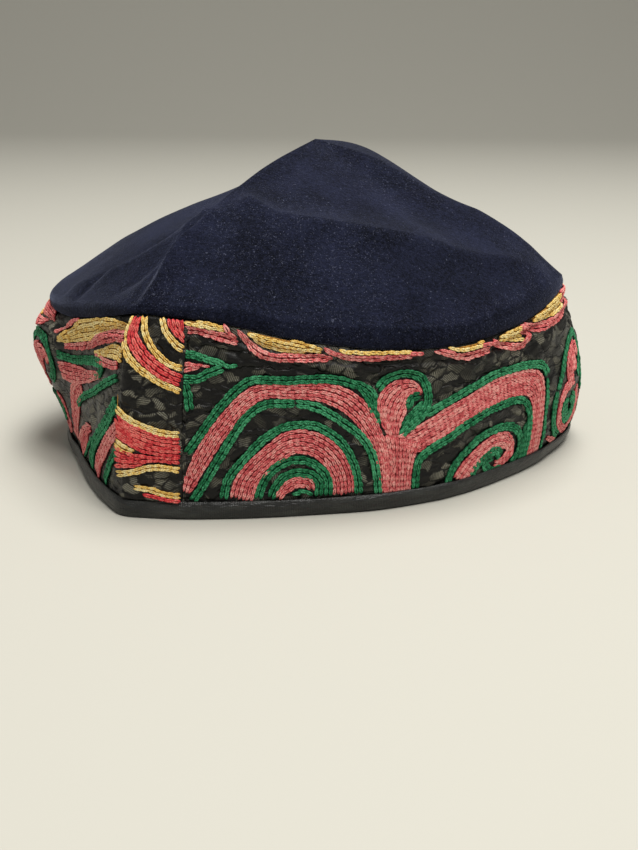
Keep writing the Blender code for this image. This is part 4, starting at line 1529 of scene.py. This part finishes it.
@dataclass
class Embroidery:
    """All the sewn rows: the seen motifs, and their repeats round the hidden sides."""

    cloth: BandCloth
    repeat: float = 168.0
    front_start: float = -24.0

    def unrolled(self, along: Union[float, np.ndarray]) -> Union[float, np.ndarray]:
        """The same place along the band, counted from where the front stretch starts."""
        return np.mod(along - self.front_start, self.cloth.round_length) + self.front_start

    def areas(self) -> list[Rows]:
        """Lay out the whole band: each motif where it is seen, then again round the back."""
        laid = [*SCROLLS, *SPRIG, *LEAVES, *BUDS, *LEFT_SIDE, *STRIP_BANDS]
        for turn in (1, 2):
            laid += [area.moved(turn * self.repeat, self.cloth, False) for area in (*SCROLLS, *BUDS)]
            laid += [area.moved(turn * self.repeat, self.cloth, True) for area in LEAVES]
        return laid

    def plan(self) -> dict[Dye, dict[str, np.ndarray]]:
        """Lay out every stitch, and press the band's cloth down under those sewn on it."""
        stitches = ChainStitch(self.cloth)
        sewn = {}
        for number, dye in enumerate(Dye):
            sewn[dye] = stitches.sew([area for area in self.areas() if area.dye is dye], 20 + number)
        on_band = [stitch["base"] == Layer.BAND.value for stitch in sewn.values()]
        along = np.concatenate([stitch["u"][pick] for stitch, pick in zip(sewn.values(), on_band)])
        up = np.concatenate([stitch["h"][pick] for stitch, pick in zip(sewn.values(), on_band)])
        self.cloth.press(along, up)
        return sewn

    def build(
        self, laid: dict[Dye, dict[str, np.ndarray]], finishes: dict[str, bpy.types.Material]
    ) -> list[bpy.types.Object]:
        """Make every colour's loops, a piece for each colour and stretch of the band."""
        stitches = ChainStitch(self.cloth)
        pieces = []
        for number, dye in enumerate(Dye):
            sewn = laid[dye]
            place = self.unrolled(sewn["u"])
            for stretch, (start, end) in STRETCHES.items():
                pick = (place >= start) & (place < end)
                if not pick.any():
                    continue
                part = {key: value[pick] for key, value in sewn.items()}
                parts = [stitches.loops(part, 40 + number)]
                for area in self.areas():
                    middle = self.unrolled(np.mean([point[0] for point in area.near]))
                    if area.dye is dye and start <= middle < end:
                        parts.append(stitches.bed(area))
                name = f"{dye.name.lower()}_stitches_{stretch}"
                whole = Sewn.joined(parts)
                mesh = fill_mesh(name, whole.points, [whole.faces], whole.pattern, whole.shade)
                pieces.append(add_piece(name, mesh, finishes[dye.value.name]))
        return pieces


# Cloth pieces


@dataclass
class Crown:
    """The velvet crown: puffed lower edge, soft folds, peak."""

    form: CapForm
    columns: int = 480
    edge_rows: int = 14
    roof_rows: int = 60
    inner_start: int = 4
    even_sag: float = 0.6
    sag: tuple[Bumps, ...] = (Bumps(0.4, 26.0, 11), Bumps(0.25, 8.0, 12))
    gather: Bumps = Bumps(1.0, 5.5, 13)
    dents: tuple[Bumps, ...] = (Bumps(0.9, 26.0, 14), Bumps(0.35, 9.0, 15))

    def outer(self) -> np.ndarray:
        """Give the outer face's rows, from the tucked edge up to just under the peak.

        The edge is a half circle that swells out over the band and droops unevenly; the roof runs
        in to the peak, with crests, soft dents and small gathers that die away inward.

        Returns:
            Points, rows by columns by 3.
        """
        azimuth = np.arange(self.columns) * (360.0 / self.columns)
        form = self.form
        rim = form.soft_face(azimuth, 1.0)
        ahead = np.roll(rim, -1, axis=0) - np.roll(rim, 1, axis=0)
        out = np.stack([ahead[:, 1], -ahead[:, 0]], -1)
        out /= np.linalg.norm(out, axis=1, keepdims=True)
        along = np.concatenate([[0.0], np.cumsum(np.linalg.norm(np.diff(rim, axis=0), axis=1))]) / MM
        around = float(along[-1]) * len(along) / (len(along) - 1)
        level = along * 0.0
        sag = sum((bumps.at(along, level, around) for bumps in self.sag), self.even_sag)
        gather = self.gather.at(along, level, around)
        hems = sorted(HEMS)
        at = [hem.azimuth for hem in hems]
        puff = np.interp(azimuth, at, [hem.swell for hem in hems], period=360.0) * MM
        droop = np.interp(azimuth, at, [hem.droop for hem in hems], period=360.0) * MM
        rows = []
        top = form.roof_height(azimuth, 0.0) - form.seam_height(azimuth)
        for k in range(self.edge_rows):
            t = k / self.edge_rows
            reach = puff * math.sin(math.pi * t) ** 0.8 * (1.0 + 0.12 * gather)
            low = -droop * sag * math.sin(math.pi * min(1.0, t * 2.2)) * (1 - t)
            row = rim.copy()
            row[:, :2] += out * (form.gap + reach)[:, None]
            row[:, 2] = rim[:, 2] + form.gap + low + (top - form.gap) * t**1.25
            rows.append(row)
        inward = (np.arange(self.roof_rows) / self.roof_rows) ** 1.08
        plan = form.roof_plan(azimuth[None, :], inward[:, None])
        height = form.roof_height(azimuth[None, :], inward[:, None])
        fade = np.minimum(1.0, 5.0 * inward) * (1.0 - inward)
        folded = np.minimum(1.0, 0.25 + 6.0 * inward) * np.minimum(1.0, 3.0 * (1.0 - inward))
        height = height + folded[:, None] * form.fold_height(plan)
        x, y = plan[..., 0] / MM, plan[..., 1] / MM
        height = height + fade[:, None] * MM * sum(bumps.at(x, y) for bumps in self.dents)
        height = height + MM * 0.25 * gather * np.exp(-inward * 9.0)[:, None]
        roof = np.concatenate([plan, height[..., None]], -1)
        blend = np.clip(1.0 - inward * 14.0, 0.0, 1.0)
        roof[..., :2] += (out * form.gap)[None] * blend[:, None, None]
        return np.concatenate([np.stack(rows), roof])

    def build(self, finish: bpy.types.Material) -> bpy.types.Object:
        """Close the outer face with an inner one, a cloth's thickness in, and close both peaks."""
        outer = self.outer()
        inner = outer - surface_normals(outer) * self.form.crown_wall
        inner[: self.edge_rows, :, 2] = np.maximum(inner[: self.edge_rows, :, 2], outer[0, :, 2])
        inner = inner[self.inner_start :: 2]
        grid = np.concatenate([inner[::-1], outer])
        rows, columns = grid.shape[:2]
        tip = np.array([*np.add(self.form.peak, self.form.shift), self.form.cap_height])
        tips = np.stack([tip - [0.0, 0.0, self.form.crown_wall], tip])
        points = np.concatenate([grid.reshape(-1, 3), tips])
        column = np.arange(columns)
        beside = (column + 1) % columns
        count = rows * columns
        low = np.stack([beside, column, np.full(columns, count)], -1)
        last = (rows - 1) * columns
        high = np.stack([last + column, last + beside, np.full(columns, count + 1)], -1)
        mesh = fill_mesh("velvet_crown", points, [ring_faces(rows, columns, False), low, high])
        piece = add_piece("velvet_crown", mesh, finish)
        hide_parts("crown")
        return piece


@dataclass
class BandGround:
    """The band's cloth, with its lumps and puckers."""

    cloth: BandCloth
    columns: int = 1000
    rows: int = 66
    inner_rows: int = 9
    foot: float = 1.9

    def build(self, finish: bpy.types.Material) -> bpy.types.Object:
        """Lay the outer face from the flat cloth, and a plain inner face a wall's thickness in."""
        cloth, form = self.cloth, self.cloth.form
        along = np.linspace(0.0, cloth.round_length, self.columns, endpoint=False)
        azimuth = cloth.azimuth(along)
        seam = form.seam_height(azimuth) / MM
        share = np.linspace(0.0, 1.0, self.rows)
        height = self.foot + (seam[None, :] - self.foot) * share[:, None]
        wide = np.broadcast_to(along, height.shape)
        fade = np.clip((1.0 - share) * 9.0, 0.0, 1.0)[:, None]
        outer = cloth.place(wide, height, cloth.relief(wide, height) * fade)
        levels = np.linspace(0.0, 1.0, self.inner_rows)
        low = self.foot + (seam[None, :] - self.foot) * levels[:, None]
        within = np.full(low.shape, -form.band_wall / MM)
        inner = cloth.place(np.broadcast_to(along, low.shape), low, within)
        inner[..., 2] = low * MM
        grid = np.concatenate([outer, inner[::-1]])
        behind = height[-1] + 3.0 + 6.0 * np.arange(1, self.inner_rows + 1)[:, None]
        flat_up = np.concatenate([height, behind])
        flat_up = np.concatenate([flat_up, flat_up[:, :1]], axis=1)
        across = np.append(along, cloth.round_length)
        faces = ring_faces(len(grid), self.columns, True)
        pattern = ring_pattern(across, flat_up, True)
        mesh = fill_mesh("satin_band", grid.reshape(-1, 3), [faces], pattern)
        piece = add_piece("satin_band", mesh, finish)
        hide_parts("band")
        return piece


@dataclass
class Strip:
    """The strip over the band's two ends."""

    cloth: BandCloth
    columns: int = 44
    rows: int = 90
    wall: float = 1.4
    lift: float = 0.3
    foot: float = 6.0
    right: float = -1.0
    width_at_foot: float = 20.0
    width_at_top: float = 20.4
    under_hem: float = 0.7
    slanting: Bumps = Bumps(1.0, 8.0, 31)
    lumps: Bumps = Bumps(0.14, 4.0, 32)
    crease: Ripple = Ripple(-0.35, 0.0, 0.15)

    def build(self, finish: bpy.types.Material) -> bpy.types.Object:
        """Make a rounded pad over the corner.

        Its section is a flat oval: thickness times (1 - |x|^6) to the power 1/3 across its width.
        """
        share = np.linspace(0.0, 1.0, self.rows)[:, None]
        across = np.sin(np.linspace(-0.5, 0.5, self.columns) * math.pi)[None, :]
        wide = self.width_at_foot + (self.width_at_top - self.width_at_foot) * share
        u = self.right - wide / 2 + across * wide / 2
        top = self.cloth.seam(u) - self.under_hem
        h = self.foot + (top - self.foot) * share
        profile = (1.0 - np.abs(across) ** 6) ** (1 / 3)
        slant = self.slanting.at(u + 0.7 * h + 40.0, 0.8 * h)
        wrinkle = self.lumps.at(u + 40.0, h) + self.crease.at(slant)
        outer = self.cloth.place(u, h, self.lift + self.wall * profile + wrinkle * profile)
        inner = self.cloth.place(u, h, np.full(u.shape, self.lift))
        points, faces = slab(outer, inner)
        flat = np.concatenate([np.stack([u, h + 0 * u], -1).reshape(-1, 2)] * 2)
        mesh = fill_mesh("strip_cloth", points, [faces], flat[faces.ravel()])
        piece = add_piece("strip_cloth", mesh, finish)
        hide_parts("join_strip")
        return piece


@dataclass
class Binding:
    """The cloth folded over the band's lower edge."""

    cloth: BandCloth
    columns: int = 720
    height: float = 5.9
    cloth_thick: float = 1.2
    floor: float = 1.5
    corner: float = 0.5
    swell: float = 0.35
    roundness: float = 0.80
    drag: Bumps = Bumps(0.12, 6.0, 41)
    waver: Bumps = Bumps(0.18, 17.0, 42)

    def build(self, finish: bpy.types.Material) -> bpy.types.Object:
        """Carry a rounded U round the rim, flat where it stands, with small drag lines."""
        cloth, form = self.cloth, self.cloth.form
        gap, wall = form.gap / MM, form.band_wall / MM
        out = gap + self.cloth_thick
        within = -wall - gap
        arc = np.linspace(0.0, math.pi, 17)
        high = self.height
        bulge = out + self.swell - gap
        outer = [(high - self.corner, gap + 0.05)]
        outer += [
            (high / 2 * (1 + math.cos(a)), gap + 0.1 + bulge * math.sin(a) ** self.roundness)
            for a in arc[1:-1]
        ]
        outer += [(0.0, out * 0.62)]
        behind = within - self.cloth_thick
        inner = [(0.0, behind + self.corner), (self.corner, behind), (high - self.corner, behind)]
        inner += [(high, behind + self.corner), (high, within), (self.floor, within), (self.floor, gap)]
        profile = np.array(outer + inner)
        along = np.linspace(0.0, cloth.round_length, self.columns, endpoint=False)
        h = np.broadcast_to(profile[:, :1], (len(profile), self.columns))
        u = np.broadcast_to(along, h.shape)
        near = (np.abs(profile[:, 1] - out) < 1.0)[:, None] * (profile[:, 0] > 0.3)[:, None]
        around = cloth.round_length
        drag = self.drag.at(u, h * 2.0, around) + self.waver.at(u, h, around)
        flat = cloth.place(u, h, np.zeros(h.shape))
        ahead = np.roll(flat, -1, axis=1) - np.roll(flat, 1, axis=1)
        side = np.stack([ahead[..., 1], -ahead[..., 0], np.zeros(h.shape)], -1)
        side /= np.linalg.norm(side, axis=-1, keepdims=True)
        grid = flat + side * ((profile[:, 1:] + drag * near) * MM)[..., None]
        grid[..., 2] = h * MM
        grid = grid[::-1]
        run = np.concatenate([[0.0], np.cumsum(np.linalg.norm(np.diff(profile, axis=0), axis=1))])[::-1]
        upward = np.broadcast_to(run[:, None], (len(run), self.columns + 1))
        faces = ring_faces(len(grid), self.columns, True)
        pattern = ring_pattern(np.append(along, cloth.round_length), upward, True)
        mesh = fill_mesh("rim_cloth", grid.reshape(-1, 3), [faces], pattern)
        piece = add_piece("rim_cloth", mesh, finish)
        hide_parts("rim_binding")
        return piece


# Studio


class Lamp(NamedTuple):
    """A soft square light: its place and side in metres, its power in watts, and its colour."""

    name: str
    place: tuple[float, float, float]
    size: float
    power: float
    tint: Colour


LAMPS = (
    Lamp("key_light", (0.30, -0.55, 1.35), 0.6, 14.0, (1.0, 0.98, 0.94)),
    Lamp("top_light", (0.20, 0.25, 1.5), 0.7, 19.0, (1.0, 0.99, 0.97)),
)


@dataclass(frozen=True)
class Studio:
    """Plain pale floor that curves up behind, soft lights and the camera."""

    camera_place: tuple[float, float, float] = (0.0028, -0.4221, 0.140)
    pitch: float = 18.0
    roll: float = 0.5
    focal_pixels: float = 1150.0
    picture: tuple[int, int] = (638, 850)
    sensor: float = 36.0
    lit_point: tuple[float, float, float] = (0.0, 0.0, 0.05)
    floor_paint: Colour = paint(188, 186, 176)
    sky_tint: Colour = (1.0, 0.985, 0.96)
    sky_strength: float = 0.36

    def floor(self) -> bpy.types.Object:
        """Sweep a line back along the floor, round a wide bend and up: an arc of a quarter turn."""
        bend, back = 1.2, 1.6
        turn = np.linspace(0.0, math.pi / 2, 25)
        y = np.concatenate([[-3.0], back + bend * np.sin(turn), [back + bend]])
        z = np.concatenate([[0.0], bend - bend * np.cos(turn), [4.0]])
        x = np.array([-4.0, 4.0])
        grid = np.stack(np.broadcast_arrays(x[None, :], y[:, None], z[:, None]), -1)
        mesh = fill_mesh("floor", grid.reshape(-1, 3), [ring_faces(len(y), 2, False, False)])
        bench = Bench("pale_floor")
        bench.finish(self.floor_paint, 0.7, {"Specular IOR Level": 0.2}, None, 0.0)
        mesh.materials.append(bench.material)
        floor = bpy.data.objects.new("floor", mesh)
        bpy.context.scene.collection.objects.link(floor)
        return floor

    def light(self, lamp: Lamp) -> None:
        """Hang one soft square light that faces the cap."""
        made = bpy.data.lights.new(lamp.name, "AREA")
        made.shape, made.size, made.energy, made.color = "SQUARE", lamp.size, lamp.power, lamp.tint
        held = bpy.data.objects.new(lamp.name, made)
        eye = np.array(lamp.place)
        held.matrix_world = self.facing(eye, np.array(self.lit_point) - eye)
        bpy.context.scene.collection.objects.link(held)

    @staticmethod
    def facing(eye: np.ndarray, ahead: np.ndarray) -> Matrix:
        """A placed frame whose -Z looks ahead and whose X is level."""
        back = -ahead / np.linalg.norm(ahead)
        right = np.cross([0.0, 0.0, 1.0], back)
        right /= np.linalg.norm(right)
        up = np.cross(back, right)
        return Matrix([[*pair] for pair in np.column_stack([right, up, back, eye])] + [[0, 0, 0, 1]])

    def camera(self) -> None:
        """Set the camera where the photograph was taken from."""
        lens = bpy.data.cameras.new("camera")
        lens.lens = self.focal_pixels / max(self.picture) * self.sensor
        lens.sensor_width = self.sensor
        lens.clip_start, lens.clip_end = 0.01, 20.0
        pitch, roll = math.radians(self.pitch), math.radians(self.roll)
        ahead = np.array([0.0, math.cos(pitch), -math.sin(pitch)])
        level = np.array([0.0, math.sin(pitch), math.cos(pitch)])
        right = np.array([math.cos(roll), 0.0, 0.0]) + math.sin(roll) * level
        up = -math.sin(roll) * np.array([1.0, 0.0, 0.0]) + math.cos(roll) * level
        columns = np.column_stack([right, up, -ahead, self.camera_place])
        held = bpy.data.objects.new("camera", lens)
        held.matrix_world = Matrix([[*row] for row in columns] + [[0, 0, 0, 1]])
        bpy.context.scene.collection.objects.link(held)
        bpy.context.scene.camera = held

    def build(self) -> None:
        """Set up floor, lights, sky and camera."""
        self.floor()
        for lamp in LAMPS:
            self.light(lamp)
        world = bpy.data.worlds.new("sky")
        world.use_nodes = True
        sky = world.node_tree.nodes["Background"]
        sky.inputs["Color"].default_value = (*self.sky_tint, 1.0)
        sky.inputs["Strength"].default_value = self.sky_strength
        bpy.context.scene.world = world
        bpy.context.scene.view_settings.view_transform = "Standard"
        self.camera()


def cap_shift(form_peak: tuple[float, float]) -> tuple[float, float]:
    """How far the frame's cap stands from the sections' own middle, from where its peak is."""
    corners = np.array([vertex.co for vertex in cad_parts["crown"].data.vertices])
    top = corners[np.argmax(corners[:, 2])]
    return float(top[0] - form_peak[0]), float(top[1] - form_peak[1])


def main() -> None:
    """Build the cap piece by piece."""
    logging.basicConfig(level=logging.INFO, format="%(name)s %(message)s")
    form = CapForm(shift=cap_shift(CapForm.peak))
    cloth = BandCloth(form)
    finishes = {dye.value.name: dye.value.make() for dye in Dye}
    embroidery = Embroidery(cloth)
    laid = embroidery.plan()
    Crown(form).build(Velvet().make())
    BandGround(cloth).build(FiguredSatin().make())
    Strip(cloth).build(FiguredSatin("strip_satin").make())
    Binding(cloth).build(BindingSatin().make())
    for piece in embroidery.build(laid, finishes):
        log.info("sewn %s", piece.name)
    Studio().build()


if __name__ == "__main__":
    main()
